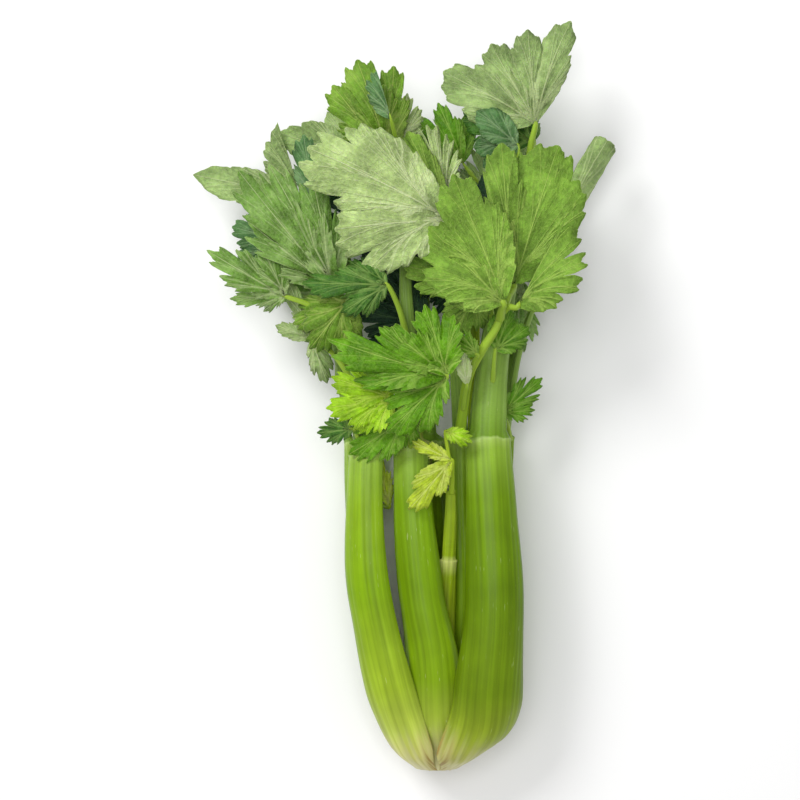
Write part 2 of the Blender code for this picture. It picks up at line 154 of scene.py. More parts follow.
# A stalk's colours, its layer, where it looks and how many degrees it covers each way at the root, where it
# looks further up, its widest flare and its width, its route up to the joint, and its rachis with the width
# of that at its two ends.
Stalk = namedtuple("Stalk", "skin layer base_turn base_spread turn flare width route rachis girth")
STALKS = {
    "stalk_right": Stalk(
        "broad", OUTER, 54, 47, 6, 40, 32,
        [(50, -200, 48), (49, -187, 58), (51, -163, 66), (54, -115, 71), (52, -60, 70), (50, -22, 66)],
        [(51, 0, 64), (54, 28, 61), (60, 66, 57), (67, 108, 53), (73, 134, 50)], (20, 6)),
    "stalk_left": Stalk(
        "bowed", OUTER, -43, 44, -24, 30, 25,
        [(5, -198, 45), (-3, -186, 51), (-10, -162, 59), (-17, -130, 63), (-22, -100, 66), (-23, -68, 65),
         (-22, -30, 60)],
        [(-25, 0, 57), (-32, 30, 54), (-37, 56, 50), (-45, 82, 46), (-53, 106, 42)], (11, 4)),
    "stalk_centre": Stalk(
        "stalk", INNER, 3, 42, 0, 33, 24,
        [(22, -198, 45), (20, -182, 52), (18, -145, 59), (12, -110, 61), (8, -70, 61), (6, -27, 56)],
        [(6, 0, 57), (5, 30, 59), (3, 62, 60), (3, 94, 54), (1, 124, 50)], (10, 4)),
    "heart_stalk_yellow": Stalk(
        "heart", HEART, -2, 38, 10, 11, 11,
        [(23, -185, 38.5), (25.5, -140, 44.5), (28, -92, 50)],
        [(29, -70, 54), (29, -52, 58)], (7, 5)),
    "heart_stalk_dark": Stalk(
        "stalk", HEART, 82, 40, 10, 15, 15,
        [(36, -185, 31), (38, -115, 41), (36, -60, 44), (35, -24, 46)],
        [(33, 6, 48), (31, 40, 52), (30, 76, 56), (27, 98, 58)], (8, 4)),
    "heart_stalk_left": Stalk(
        "heart", HEART, -90, 42, -150, 20, 20,
        [(11, -180, 19), (8, -125, 20), (7, -60, 22), (8, -26, 25)],
        [(8, 10, 28), (6, 50, 31), (2, 84, 34)], (8, 4)),
    "heart_stalk_right": Stalk(
        "heart", HEART, 184, 36, 150, 18, 18,
        [(30, -182, 15), (42, -125, 19), (44, -60, 22), (44, -26, 25)],
        [(44, 10, 28), (44, 50, 31), (46, 84, 34)], (8, 4)),
    "stalk_side_right": Stalk(
        "stalk", INNER, 83, 29, 96, 20, 24,
        [(46, -190, 28.6), (58, -150, 32), (64, -100, 34), (64, -60, 34), (63, -24, 32)],
        [(66, 4, 32), (72, 34, 34), (82, 62, 36), (92, 82, 38)], (9, 4)),
    "stalk_side_left": Stalk(
        "stalk", INNER, -103, 23, -96, 18, 24,
        [(-2, -188, 27), (-17, -150, 28), (-29, -100, 34), (-31, -60, 34), (-32, -26, 32)],
        [(-35, 4, 30), (-40, 34, 28), (-46, 66, 30), (-54, 88, 34)], (9, 4)),
    "stalk_rear_right": Stalk(
        "stalk", INNER, 151, 27, 168, 22, 24,
        [(44, -187, 11), (53, -145, 4), (54, -95, 1.5), (56, -55, 3), (58, -20, 8)],
        [(62, 8, 12), (65, 40, 16), (68, 74, 20)], (9, 4)),
    "stalk_rear_middle": Stalk(
        "stalk", OUTER, 182, 33, 180, 23, 26,
        [(21, -192, 2.5), (19, -150, 0.5), (17, -100, 0.5), (16, -60, 2), (16, -24, 6)],
        [(15, 6, 10), (14, 40, 13), (13, 78, 16), (13, 110, 18)], (10, 4)),
    "stalk_rear_left": Stalk(
        "stalk", INNER, -153, 24.5, -172, 17, 20,
        [(0, -187, 8.5), (-15, -145, 4), (-20, -95, 1.5), (-21, -55, 3), (-21, -22, 8)],
        [(-23, 8, 12), (-26, 40, 15), (-30, 72, 18), (-34, 98, 20)], (9, 4)),
}

# The side branch that forks off at the joint of the right stalk: its route, its first and last width, how
# thick it is for its radius, and its ribs.
BRANCH_ROUTE = [(33, -25, 60), (35, -8, 65), (38, 12, 70), (45, 26, 74), (53, 39, 79), (60, 58, 82)]
BRANCH_GIRTH = (8.5, 5)
BRANCH_FILL = 1.2
BRANCH_SECTIONS = 80
BRANCH_RIBS = 4
BRANCH_RIB_DEPTH = 0.25
BRANCH_UNEVENNESS = 0.5

Lobe = namedtuple("Lobe", "heading length width lift half sway", defaults=[0, 0])
Leaf = namedtuple("Leaf", "skin side base fold bow curl teeth point stem lobes")

# Each leaf starts at the end of its stem. side is the face that looks up, fold is how steeply its halves drop
# from the midrib, bow is how far the midrib arches, curl is how far the blade wraps around its midrib in
# degrees, teeth is how deep its margin is cut, point is how sharp its tip is, and stem names the stalk that
# it grows from, and where. A lobe whose half is 1 or -1 is folded at its midrib, and shows its left or right
# half.
LEAVES = {
    "leaf_front_centre": Leaf("fresh", "upper", (26, 12, 87), -4, 4, 26, 1.1, 0.3, ("stalk_centre", -20), [
        Lobe(107, 40, 38, 6), Lobe(140, 43, 24, 5), Lobe(164, 66, 36, 8), Lobe(184, 50, 15, -2),
        Lobe(222, 44, 34, -7)]),
    "leaf_front_left": Leaf("lime", "upper", (-3, 0, 76), 4, 4, 26, 1.0, 0.3, ("stalk_centre", -26), [
        Lobe(162, 36, 26, -2), Lobe(189, 37, 28, 0), Lobe(217, 28, 22, -2)]),
    "leaf_front_low": Leaf("fresh", "upper", (8, -8, 69), 4, 2, 30, 1.1, 0.3, ("stalk_centre", -27), [
        Lobe(214, 42, 30, -3), Lobe(246, 21, 22, -3)]),
    "leaf_low_left": Leaf("dark", "upper", (-26, -17, 63), 8, 1, 36, 1.1, 0.3, ("stalk_left", -28), [
        Lobe(186, 20, 17, -2)]),
    "leaf_right_big": Leaf("fresh", "under", (57, 52, 88), 3, 5, 26, 0.7, 0.1, ("branch", 44), [
        Lobe(111, 73, 36, 8), Lobe(136, 57, 44, 3), Lobe(158, 40, 24, 0)]),
    "leaf_right_back": Leaf("fresh", "under", (63, 62, 74), 2, 4, 26, 0.6, 0.0, ("branch", 50), [
        Lobe(74, 78, 46, 10), Lobe(97, 76, 22, 12)]),
    "leaf_right_ribbed": Leaf("fresh", "under", (64, 50, 88), 3, 3, 24, 1.0, 0.3, ("branch", 48), [
        Lobe(62, 54, 60, 2, -1)]),
    "leaf_inner_right": Leaf("fresh", "under", (46, 64, 67), 6, 4, 36, 0.8, 0.2, ("stalk_right", 30), [
        Lobe(168, 44, 27, 2), Lobe(240, 32, 30, -2)]),
    "leaf_dark_centre": Leaf("dark", "upper", (-7, 63, 76), 8, 4, 40, 1.0, 0.3, ("stalk_centre", 30), [
        Lobe(148, 25, 18, -8), Lobe(179, 46, 20, -2), Lobe(212, 29, 20, -4)]),
    "leaf_low_olive": Leaf("olive", "upper", (-28, 56, 66), 6, 4, 36, 0.8, 0.2, ("stalk_left", 20), [
        Lobe(205, 34, 24, -8), Lobe(232, 35, 32, -2), Lobe(262, 34, 20, -10)]),
    "leaf_left_folded": Leaf("mature", "under", (-50, 34, 50), 20, 3, 56, 0.6, 0.6, ("stalk_left", 10), [
        Lobe(110, 33, 14, 6), Lobe(160, 21, 12, 0), Lobe(290, 26, 16, -2)]),
    "leaf_left_tip": Leaf("mature", "upper", (-64, 57, 62), 4, 3, 26, 1.0, 0.7, ("stalk_left", 36), [
        Lobe(116, 31, 22, 5), Lobe(151, 49, 30, 6), Lobe(182, 31, 16, -8), Lobe(212, 15, 9, -8)]),
    "leaf_left_big": Leaf("mature", "upper", (-35, 60, 60), -3, 5, 22, 1.5, 0.1, ("stalk_left", 44), [
        Lobe(103, 64, 26, 11), Lobe(117, 77, 26, 14), Lobe(131, 83, 30, 16), Lobe(144, 61, 26, 10)]),
    "leaf_left_grey": Leaf("blue", "upper", (-64, 88, 50), 2, 2, 30, 0.5, 0.0, ("stalk_left", 70), [
        Lobe(163, 31, 20, 2), Lobe(196, 28, 13, 0)]),
    "leaf_far_left": Leaf("mature", "under", (-56, 112, 42), 2, 4, 40, 0.25, 1.0, ("stalk_left", 104), [
        Lobe(104, 45, 50, 6, 1), Lobe(164, 62, 34, -4)]),
    "leaf_left_blue": Leaf("blue", "upper", (-48, 110, 56), 12, 2, 60, 0.8, 0.3, ("stalk_left", 92), [
        Lobe(76, 34, 16, -3), Lobe(101, 38, 19, 0)]),
    "leaf_back_left": Leaf("mature", "under", (-24, 138, 40), -4, 3, 40, 0.25, 0.9, ("stalk_centre", 116), [
        Lobe(124, 30, 26, 0), Lobe(166, 45, 40, 2)]),
    "leaf_top": Leaf("olive", "upper", (-6, 134, 60), 4, 5, 30, 1.1, -0.1, ("stalk_centre", 110), [
        Lobe(88, 50, 18, 2), Lobe(107, 56, 26, 8), Lobe(128, 50, 24, 5)]),
    "leaf_top_folded": Leaf("blue", "upper", (-5, 154, 80), 10, 3, 60, 0.6, 0.1, ("stalk_centre", 118), [
        Lobe(104, 28, 18, 3, 1)]),
    "leaf_top_small": Leaf("pale", "under", (0, 140, 54), 6, 3, 36, 1.0, 0.3, ("stalk_centre", 122), [
        Lobe(60, 24, 14, 0), Lobe(84, 31, 22, 2)]),
    "leaf_ribbed": Leaf("pale", "under", (28, 112, 62), 14, 4, 40, 1.4, 0.2, ("heart_stalk_dark", 94), [
        Lobe(114, 44, 32, 2, -1)]),
    "leaf_back_dark": Leaf("deep", "upper", (36, 134, 38), 8, 3, 30, 0.8, 0.2, ("stalk_rear_right", 74), [
        Lobe(88, 27, 13, -1), Lobe(112, 36, 14, 6), Lobe(138, 35, 24, 3)]),
    "leaf_blue_shine": Leaf("blue", "upper", (66, 142, 60), -6, 3, 30, 0.2, 0.5, ("stalk_right", 100), [
        Lobe(141, 29, 22, 2), Lobe(180, 24, 22, 0), Lobe(212, 22, 16, -3)]),
    "leaf_top_right": Leaf("mature", "under", (76, 154, 58), 12, 6, 36, 0.45, 0.2, ("stalk_right", 130), [
        Lobe(80, 59, 20, 2, 0, -8), Lobe(96, 51, 24, 3), Lobe(120, 50, 34, -3), Lobe(148, 58, 34, -6)]),
    # A dark leaf under leaf_top_right: a sheet of painted shadow below it.
    "leaf_top_right_under": Leaf("dark", "upper", (76, 146, 42), -4, 3, 30, 0.6, 0.2, ("stalk_right", 130), [
        Lobe(100, 18, 12, -4), Lobe(156, 42, 30, -4)]),
    "leaf_right_rolled": Leaf("mature", "under", (84, 88, 44), 30, 4, 90, 0.2, -0.35,
        ("stalk_side_right", 80), [Lobe(62, 64, 15, 10)]),
    "leaf_centre_pale": Leaf("pale", "under", (27, 99, 84), 2, 5, 30, 0.9, -0.3, ("heart_stalk_dark", 84), [
        Lobe(152, 84, 42, 5), Lobe(186, 61, 42, -1)]),
    "leaf_centre_folded": Leaf("fresh", "under", (26, 103, 69), 12, 3, 60, 0.5, 0.2,
        ("heart_stalk_dark", 92), [Lobe(114, 49, 15, 3), Lobe(127, 51, 16, 6)]),
    "leaf_right_low": Leaf("deep", "upper", (58, -8, 46), -4, 3, 36, 1.2, 0.4, ("stalk_side_right", -24), [
        Lobe(6, 18, 16, 0), Lobe(43, 29, 18, 2)]),
    "leaf_right_edge": Leaf("deep", "upper", (53, 27, 70), 6, 3, 40, 0.5, 0.3, ("stalk_right", 10), [
        Lobe(36, 22, 18, 2), Lobe(68, 24, 20, 2)]),
    "leaf_small_pale": Leaf("pale", "under", (37, 7, 78), 6, 2, 36, 0.7, 0.5, ("branch", -6), [
        Lobe(99, 22, 11, 4)]),
    "leaf_small_green": Leaf("fresh", "upper", (43, 24, 79), 4, 2, 32, 0.9, 0.3, ("branch", 16), [
        Lobe(128, 17, 11, 0), Lobe(158, 24, 13, -2)]),
    "heart_leaf_yellow": Leaf("yellow", "upper", (29, -34, 66), 4, 3, 32, 0.9, 0.3,
        ("heart_stalk_yellow", -53), [Lobe(157, 24, 10, 8), Lobe(229, 36, 20, 4)]),
    "heart_leaf_curled": Leaf("lime", "upper", (25, -18, 74), 16, 3, 50, 0.9, 0.3,
        ("heart_stalk_yellow", -53), [Lobe(338, 16, 12, 2)]),
    "heart_leaf_gap": Leaf("yellow", "upper", (-6, -62, 36), 8, 3, 40, 1.3, 0.3, ("stalk_rear_left", -70), [
        Lobe(104, 32, 13, 3)]),
    # The rear leaves on the shadow skin are dark sheets of painted shade in the gaps between the stalks and
    # the leaves above them.
    "rear_leaf_centre": Leaf("shadow", "upper", (16, 42, 40), 4, 3, 30, 1.0, 0.3, ("heart_stalk_left", 30), [
        Lobe(136, 40, 28, 2), Lobe(168, 44, 30, 0), Lobe(204, 38, 26, -2)]),
    "rear_leaf_left_low": Leaf("mature", "upper", (-42, 58, 16), 4, 4, 30, 1.0, 0.3,
        ("stalk_side_left", 40), [Lobe(152, 52, 30, -6)]),
    "rear_leaf_left_high": Leaf("mature", "under", (-50, 98, 26), 4, 4, 30, 1.0, 0.3,
        ("stalk_side_left", 84), [Lobe(140, 48, 30, -6)]),
    "rear_leaf_left_side": Leaf("mature", "upper", (-36, 26, 22), 6, 3, 30, 1.0, 0.3,
        ("stalk_side_left", 10), [Lobe(132, 32, 20, -4)]),
    "rear_leaf_middle": Leaf("shadow", "upper", (14, 62, 29), 4, 4, 30, 1.0, 0.3, ("stalk_rear_middle", 40), [
        Lobe(62, 44, 30, -4), Lobe(100, 46, 34, -2), Lobe(150, 42, 30, -4)]),
    "rear_leaf_top_left": Leaf("dark", "upper", (-6, 116, 24), 4, 4, 30, 1.0, 0.3,
        ("stalk_rear_middle", 96), [Lobe(112, 50, 32, -8), Lobe(156, 46, 32, -6)]),
    "rear_leaf_top": Leaf("dark", "upper", (18, 116, 22), 4, 4, 30, 1.0, 0.3, ("stalk_rear_middle", 108), [
        Lobe(84, 42, 32, -8)]),
    "rear_leaf_inner": Leaf("shadow", "upper", (0, 86, 38), 4, 4, 30, 1.0, 0.3, ("heart_stalk_left", 80), [
        Lobe(104, 44, 34, 2), Lobe(140, 58, 36, 2)]),
    "rear_leaf_top_right": Leaf("mature", "under", (56, 108, 26), 4, 4, 30, 1.0, 0.3,
        ("heart_stalk_right", 80), [Lobe(72, 44, 28, -8), Lobe(106, 40, 26, -4), Lobe(136, 34, 20, 0)]),
    "rear_leaf_right": Leaf("mature", "upper", (70, 68, 24), 4, 4, 30, 1.0, 0.3, ("stalk_rear_right", 50), [
        Lobe(48, 34, 26, -8), Lobe(84, 42, 26, -6), Lobe(264, 42, 26, 0)]),
    "rear_leaf_inner_right": Leaf("shadow", "upper", (44, 84, 38), 4, 4, 30, 1.0, 0.3,
        ("heart_stalk_right", 80), [Lobe(80, 44, 34, 2), Lobe(124, 38, 30, 0), Lobe(218, 40, 30, -2),
        Lobe(252, 50, 32, 0), Lobe(286, 42, 26, -4)]),
}

# A blade's outline: how wide its petals open for their slenderness, and how wide they may, in degrees.
OPENING = 92.0
WIDEST_OPENING = 75.0
WIDEST_HALF_OPENING = 95.0

# A blade's margin: how much of it has teeth, how far apart they stand, at the least and for a lobe's length,
# how deep, how round and how uneven they are, and the deeper cuts between its main veins. It is cut less and
# less in its last share, and runs out to a share of the plain petal.
TOOTHED = 0.88
TOOTH_SPACING = 11.5
CLOSEST_TEETH = 3.6
TOOTH_SHARE = 0.145
TOOTH_DEPTH = 0.62
TOOTH_LEAN = 0.16
TOOTH_SHAKE = 0.13
TOOTH_ROUNDING = 0.55
TOOTH_SIZES = (0.65, 1.35)
SMALL_NOTCH = 0.2
SINUS_DEPTH = 0.24
SINUS_SIZES = (0.6, 1.25)
SINUS_POWER = 5
CUT_TO = 0.97
CUT_FADE = 0.25
BLADE_REACH = 1.04

# A blade's veins: how close together they start, half the width of a main vein, how wide a broad lobe is for
# its length, and about how many main veins it and a slim lobe have. Main veins start at a share of their
# places on the margin, and have parted at a share of the lobe's length. Side veins leave them from the first
# fork to the last.
VEIN_START = 0.16
MAIN_VEIN = 0.5
BROAD_SHARE = 0.6
MAIN_VEINS_BROAD = 4.6
MAIN_VEINS_SLIM = 3.4
MAIN_START = 0.15
MAIN_PARTED = 0.35
FIRST_FORK = 0.12
LAST_FORK = 0.74
SIDE_VEIN_BEND = 0.85
NO_VEIN = 99.0

# A blade's mesh, the share of its length where it starts, and the distances at which two of its points are
# one and an edge is none.
MARGIN_STEPS = 400
COLUMNS_PER_TOOTH = 8
ROW_SPACING = 3.3
REAR_ROW_SPACING = 6.0
FEWEST_ROWS = 10
BLADE_START = 0.03
SAME_PLACE = 0.02
NO_LENGTH = 0.002
LOBES_APART = 7.0

# A blade's form: how high it ruffles at the margin and billows inside it, over which lengths, and from how
# far out in full. Then how far its tip droops, how much it tilts and sways, how round a folded lobe's fold is
# and how far it drops, how far a curled one drops, and its relief and thickness.
RUFFLE = 1.1
RUFFLE_LENGTHS = (5.5, 13.0)
RUFFLED_FROM = 14.0
BILLOW = 1.7
BILLOW_LENGTHS = (7.5, 6.5, 12.0)
BILLOWED_FROM = 22.0
TIP_DROOP = 2.5
TILT = 0.10
SWAY = 0.04
FOLD_ROUNDING = 4.0
FOLD_DROP = 1.4
CURL_DROP = 0.6
PUCKER = 0.5
CRINKLE = 2.2
BLADE_THICKNESS = 0.35

# A leaf's own stem: how deep it starts in its stalk, where its middle lies and how far that rises for its
# span, and how far it runs on into the blade. Then its radius, with what a lobe's length adds to it, and how
# it tapers from its first section to its last, and into the blade in the last four.
STEM_START = 1.5
STEM_MIDDLE = 0.45
STEM_RISE = (0.0, 0.12, 0.06)
STEM_INTO = 4.0
STEM_RADIUS = 0.9
STEM_GAIN = 0.016
STEM_TAPER = (1.25, 0.75)
STEM_TIP = (0.85, 0.65, 0.4, 0.15)
STEM_SECTIONS = 28
STEM_POINTS = 14

# The studio, in metres: each softbox's place, size and power, and the camera's sensor in millimetres, its
# place, and how wide it sees at the height of the leaves.
TABLE_COLOUR = (0.93, 0.93, 0.93, 1.0)
TABLE_SIZE = 6.0
TABLE_TOP = -0.0002
SKY = 0.5
SOFTBOXES = [((-0.1, 0.15, 2.0), 1.0, 15.0), ((-0.8, 0.9, 1.3), 0.6, 16.0)]
SENSOR = 36.0
CAMERA_Y = -0.0008
CAMERA_HEIGHT = 1.35
VIEW_HEIGHT = 0.06
VIEW_WIDTH = 0.448


# ---------------------------------------------------------------- colours and node helper

MATH, NOISE, MAP, MIX = "ShaderNodeMath", "ShaderNodeTexNoise", "ShaderNodeMapRange", "ShaderNodeMix"
STORED, STRETCH, BUMP = "ShaderNodeAttribute", "ShaderNodeMapping", "ShaderNodeBump"
FIELD, VECTOR_MATH = "GeometryNodeInputNamedAttribute", "ShaderNodeVectorMath"
RAMP, CELLS, GREY = "ShaderNodeValToRGB", "ShaderNodeTexVoronoi", "ShaderNodeCombineColor"
TIMES, PLUS, MINUS = {"operation": "MULTIPLY"}, {"operation": "ADD"}, {"operation": "SUBTRACT"}
LARGER, SIZE_OF = {"operation": "MAXIMUM"}, {"operation": "ABSOLUTE"}
TIMES_PLUS = {"operation": "MULTIPLY_ADD"}
SMOOTH = {"interpolation_type": "SMOOTHSTEP"}
COLOUR = {"data_type": "RGBA"}
TINT = {"data_type": "RGBA", "blend_type": "MULTIPLY"}


def linear(code):
    """An sRGB hex colour as linear RGBA."""
    channels = [int(code[index:index + 2], 16) / 255 for index in (1, 3, 5)]
    return tuple(c / 12.92 if c <= 0.04045 else ((c + 0.055) / 1.055) ** 2.4 for c in channels) + (1.0,)


def add_node(tree, kind, inputs=(), output=0, **settings):
    """Add a node with its settings and return one output. Its inputs are values, or sockets to link from:
    in a list in order, or in a dict by name or number."""
    node = tree.nodes.new(kind)
    for key, value in settings.items():
        setattr(node, key, value)
    for key, value in inputs.items() if isinstance(inputs, dict) else enumerate(inputs):
        if isinstance(value, bpy.types.NodeSocket):
            tree.links.new(value, node.inputs[key])
        else:
            node.inputs[key].default_value = value
    return node.outputs[output] if len(node.outputs) else node


def set_stops(ramp_colour, stops):
    """Give a colour ramp its (position, hex colour) stops."""
    elements = ramp_colour.node.color_ramp.elements
    elements[0].position, elements[0].color = stops[0][0], linear(stops[0][1])
    elements[1].position, elements[1].color = stops[-1][0], linear(stops[-1][1])
    for position, colour in stops[1:-1]:
        elements.new(position).color = linear(colour)


# ---------------------------------------------------------------- materials

# Upper and under colour of each leaf skin, and the colour of its veins.
LEAF_SKINS = {
    "mature": ("#658b37", "#8aa461", "#bccc92"),
    "dark": ("#3a661e", "#62863c", "#8eac5a"),
    "deep": ("#4f8209", "#709a32", "#96b852"),
    # The shadow skin is painted shade: a near-black green for the rear leaves that fill the deep gaps in the
    # crown.
    "shadow": ("#1b3a24", "#2f5032", "#54724a"),
    "olive": ("#648c22", "#8ba648", "#b0c266"),
    "fresh": ("#568a06", "#6f9432", "#a6c45c"),
    "lime": ("#86b40c", "#9cbe4a", "#c2da5a"),
    "yellow": ("#aec62a", "#bccf4c", "#d8e47e"),
    "pale": ("#86a64e", "#a1b971", "#d2dfa8"),
    "blue": ("#48703c", "#6f9062", "#96b280"),
}


def new_skin(name, constants):
    """A new material with its shader's constants set, and the function that adds a node to it."""
    material = bpy.data.materials.new(name)
    material.use_nodes = True
    for key, value in constants.items():
        material.node_tree.nodes["Principled BSDF"].inputs[key].default_value = value
    return material, partial(add_node, material.node_tree)


def finish_skin(material, colour, height, strength, distance):
    """Lead a skin's colour and its bump, of a depth in metres, into its shader."""
    tree = material.node_tree
    bump = add_node(tree, BUMP, {"Height": height, "Strength": strength, "Distance": distance})
    tree.links.new(colour, tree.nodes["Principled BSDF"].inputs["Base Color"])
    tree.links.new(bump, tree.nodes["Principled BSDF"].inputs["Normal"])
    return material


def drawn_out(node, lay, stretch, detail, lean=0.0):
    """Noise drawn out along a stalk or a vein. stretch is how many features a millimetre holds each way."""
    stretched = node(STRETCH, {"Vector": lay, "Scale": stretch, "Rotation": (0.0, 0.0, lean)})
    return node(NOISE, {"Vector": stretched, "Scale": 1.0, "Detail": detail})


def shaded(node, colour, shade, patterns):
    """A colour darkened and lightened by a shade, and by patterns that each go from a low to a high share."""
    for pattern, low, high in patterns:
        share = node(MAP, [pattern, 0.3, 0.7, low, high], **SMOOTH)
        shade = node(MATH, [shade, share], **TIMES)
    return node(MIX, {0: 1.0, 6: colour, 7: node(GREY, [shade] * 3)}, 2, **TINT)


def leaf_material(skin, side):
    """Celery leaf: a thin waxy blade. The upper side is a deeper satin green with sunk veins, the under side
    is paler and more matt, with raised veins. Side veins stand about 8 mm apart, and the net of the smallest
    ones has meshes of about 2 mm."""
    is_upper = side == "upper"
    upper, under, vein_colour = LEAF_SKINS[skin]
    material, node = new_skin(f"celery_leaf_{skin}_{side}", {
        "Roughness": 0.46 if is_upper else 0.64, "Specular IOR Level": 0.24, "IOR": 1.42,
        "Subsurface Weight": 0.12, "Subsurface Radius": (0.6, 1.0, 0.15), "Subsurface Scale": 0.0012})
    lay, flow = (node(STORED, output="Vector", attribute_name=name) for name in ("lay", "flow"))
    vein, midrib, margin, tint = (node(STORED, output="Fac", attribute_name=name)
                                  for name in ("vein", "midrib", "margin", "tint"))
    patches = node(NOISE, {"Vector": lay, "Scale": 0.07, "Detail": 3.0})
    mottle = node(NOISE, {"Vector": lay, "Scale": 0.42, "Detail": 2.0})
    streaks = drawn_out(node, flow, (0.75, 0.07, 1.0), 4.0)
    patterns = ((patches, 0.7, 1.24), (streaks, 0.86, 1.13), (mottle, 0.86, 1.14))
    shade = node(MATH, [tint, 0.1, 1.0], **TIMES_PLUS)
    colour = shaded(node, linear(upper if is_upper else under), shade, patterns)
    bloom = node(MAP, [patches, 0.52, 0.72, 0.0, 0.2], **SMOOTH)
    colour = node(MIX, {0: bloom, 6: colour, 7: linear(vein_colour)}, 2, **COLOUR)
    net = node(CELLS, {"Vector": lay, "Scale": 0.5, "Randomness": 0.9}, "Distance",
               feature="DISTANCE_TO_EDGE")
    net_line = node(MAP, [net, 0.12, 0.0, 0.0, 0.12 if is_upper else 0.2], **SMOOTH)
    vein_line = node(MAP, [vein, 0.4, 0.1, 0.0, 0.32 if is_upper else 0.5], **SMOOTH)
    rib_line = node(MAP, [midrib, 1.1, 0.4, 0.0, 0.6 if is_upper else 0.75], **SMOOTH)
    rim_line = node(MAP, [margin, 0.5, 0.1, 0.0, 0.4], **SMOOTH)
    lines = net_line
    for line in (vein_line, rib_line, rim_line):
        lines = node(MATH, [lines, line], **LARGER)
    colour = node(MIX, {0: lines, 6: colour, 7: linear(vein_colour)}, 2, **COLOUR)
    raised = node(MATH, [vein_line, rib_line], **LARGER)
    raised = node(MATH, [net_line, 1.5, raised], **TIMES_PLUS)
    soft = node(MATH, [mottle, 1.3, streaks], **TIMES_PLUS)
    height = node(MATH, [raised, -0.8 if is_upper else 0.8, soft], **TIMES_PLUS)
    return finish_skin(material, colour, height, 0.8, 0.001)


# Colours from the root (0) past the joint (0.5) to the end of the rachis (1). All three kinds of outer stalk
# have the same pale ring at the joint and the same rachis.
JOINT_COLOURS = [(0.496, "#98b64e"), (0.4985, "#bccf88"), (0.5005, "#9cba58"), (0.503, "#6c9024"),
                 (0.56, "#7d9e40"), (1.0, "#769244")]
STALK_COLOURS = {
    "stalk": [(0.0, "#cdc592"), (0.03, "#bfbf66"), (0.08, "#9db13a"), (0.15, "#789810"), (0.30, "#6d9008"),
              (0.42, "#749812"), (0.485, "#8aac38"), *JOINT_COLOURS],
    "broad": [(0.0, "#cdc592"), (0.03, "#b9b95c"), (0.08, "#8fa22a"), (0.15, "#6c880e"), (0.30, "#5f7e04"),
              (0.42, "#6a8c0c"), (0.485, "#86a834"), *JOINT_COLOURS],
    "bowed": [(0.0, "#cfc794"), (0.03, "#c3c26a"), (0.08, "#aabb48"), (0.15, "#93ac2a"), (0.30, "#769a0c"),
              (0.42, "#7ea018"), (0.485, "#8aac38"), *JOINT_COLOURS],
    "heart": [(0.0, "#d0ca90"), (0.10, "#b0b244"), (0.25, "#8c9e22"), (0.46, "#869e14"), (0.50, "#c2cb70"),
              (0.54, "#90ab18"), (1.0, "#a2bd32")],
    "branch": [(0.0, "#86a636"), (0.6, "#80a220"), (0.8, "#94b236"), (1.0, "#8aa83a")],
}


def stalk_material(kind):
    """Celery stalk: a wet, waxy skin over pale flesh, drawn with long fibres about 1 mm apart in bands of 4
    to 6 mm. It lightens to cream at the root, keeps a soft glow, because light enters the flesh, and carries
    the pale scuffs and the few brown specks of handling."""
    material, node = new_skin(f"celery_{kind}_skin", {
        "Roughness": 0.36, "Specular IOR Level": 0.22, "IOR": 1.40, "Subsurface Weight": 0.22,
        "Subsurface Radius": (0.7, 1.0, 0.25), "Subsurface Scale": 0.003})
    lay = node(STORED, output="Vector", attribute_name="lay")
    rise, ridge, around = (node(STORED, output="Fac", attribute_name=name)
                           for name in ("rise", "ridge", "around"))
    sway = drawn_out(node, lay, (0.14, 0.0, 1.0), 2.0)
    swayed = node(MATH, [sway, 0.03, -0.015], **TIMES_PLUS)
    swayed = node(MATH, [rise, swayed], **PLUS)
    colour = node(RAMP, [node(MATH, [swayed, 0.5], **TIMES)])
    set_stops(colour, STALK_COLOURS[kind])
    fibres = drawn_out(node, lay, (0.6, 0.010, 1.0), 4.0)
    bands = drawn_out(node, lay, (0.2, 0.004, 1.0), 1.0)
    patches = node(NOISE, {"Vector": lay, "Scale": 0.04, "Detail": 2.0})
    lip = node(MATH, [around], **SIZE_OF)
    # Painted shade: the skin darkens towards the stalk's lips and in the furrows between its ribs, and a
    # painted light lifts it a little on the rib crests.
    edge = node(MAP, [lip, 0.55, 0.95, 1.0, 0.9], **SMOOTH)
    crest = node(MAP, [ridge, 0.0, 1.0, 0.94, 1.02], **SMOOTH)
    shade = node(MATH, [edge, crest], **TIMES)
    colour = shaded(node, colour, shade, ((fibres, 0.86, 1.11), (bands, 0.9, 1.1), (patches, 0.92, 1.08)))
    colour = heel_marks(node, colour, rise, ridge, lip, fibres)
    colour = handling_marks(node, colour, lay, patches)
    wrinkles = drawn_out(node, lay, (0.14, 1.2, 1.0), 3.0)
    past_joint = node(MATH, [rise, 1.14], **MINUS)
    past_joint = node(MATH, [past_joint], **SIZE_OF)
    near_joint = node(MAP, [past_joint, 0.34, 0.06, 0.12, 1.4], **SMOOTH)
    crease = node(MATH, [wrinkles, near_joint], **TIMES)
    height = node(MATH, [fibres, 0.5, crease], **TIMES_PLUS)
    return finish_skin(material, colour, height, 0.45, 0.0006)


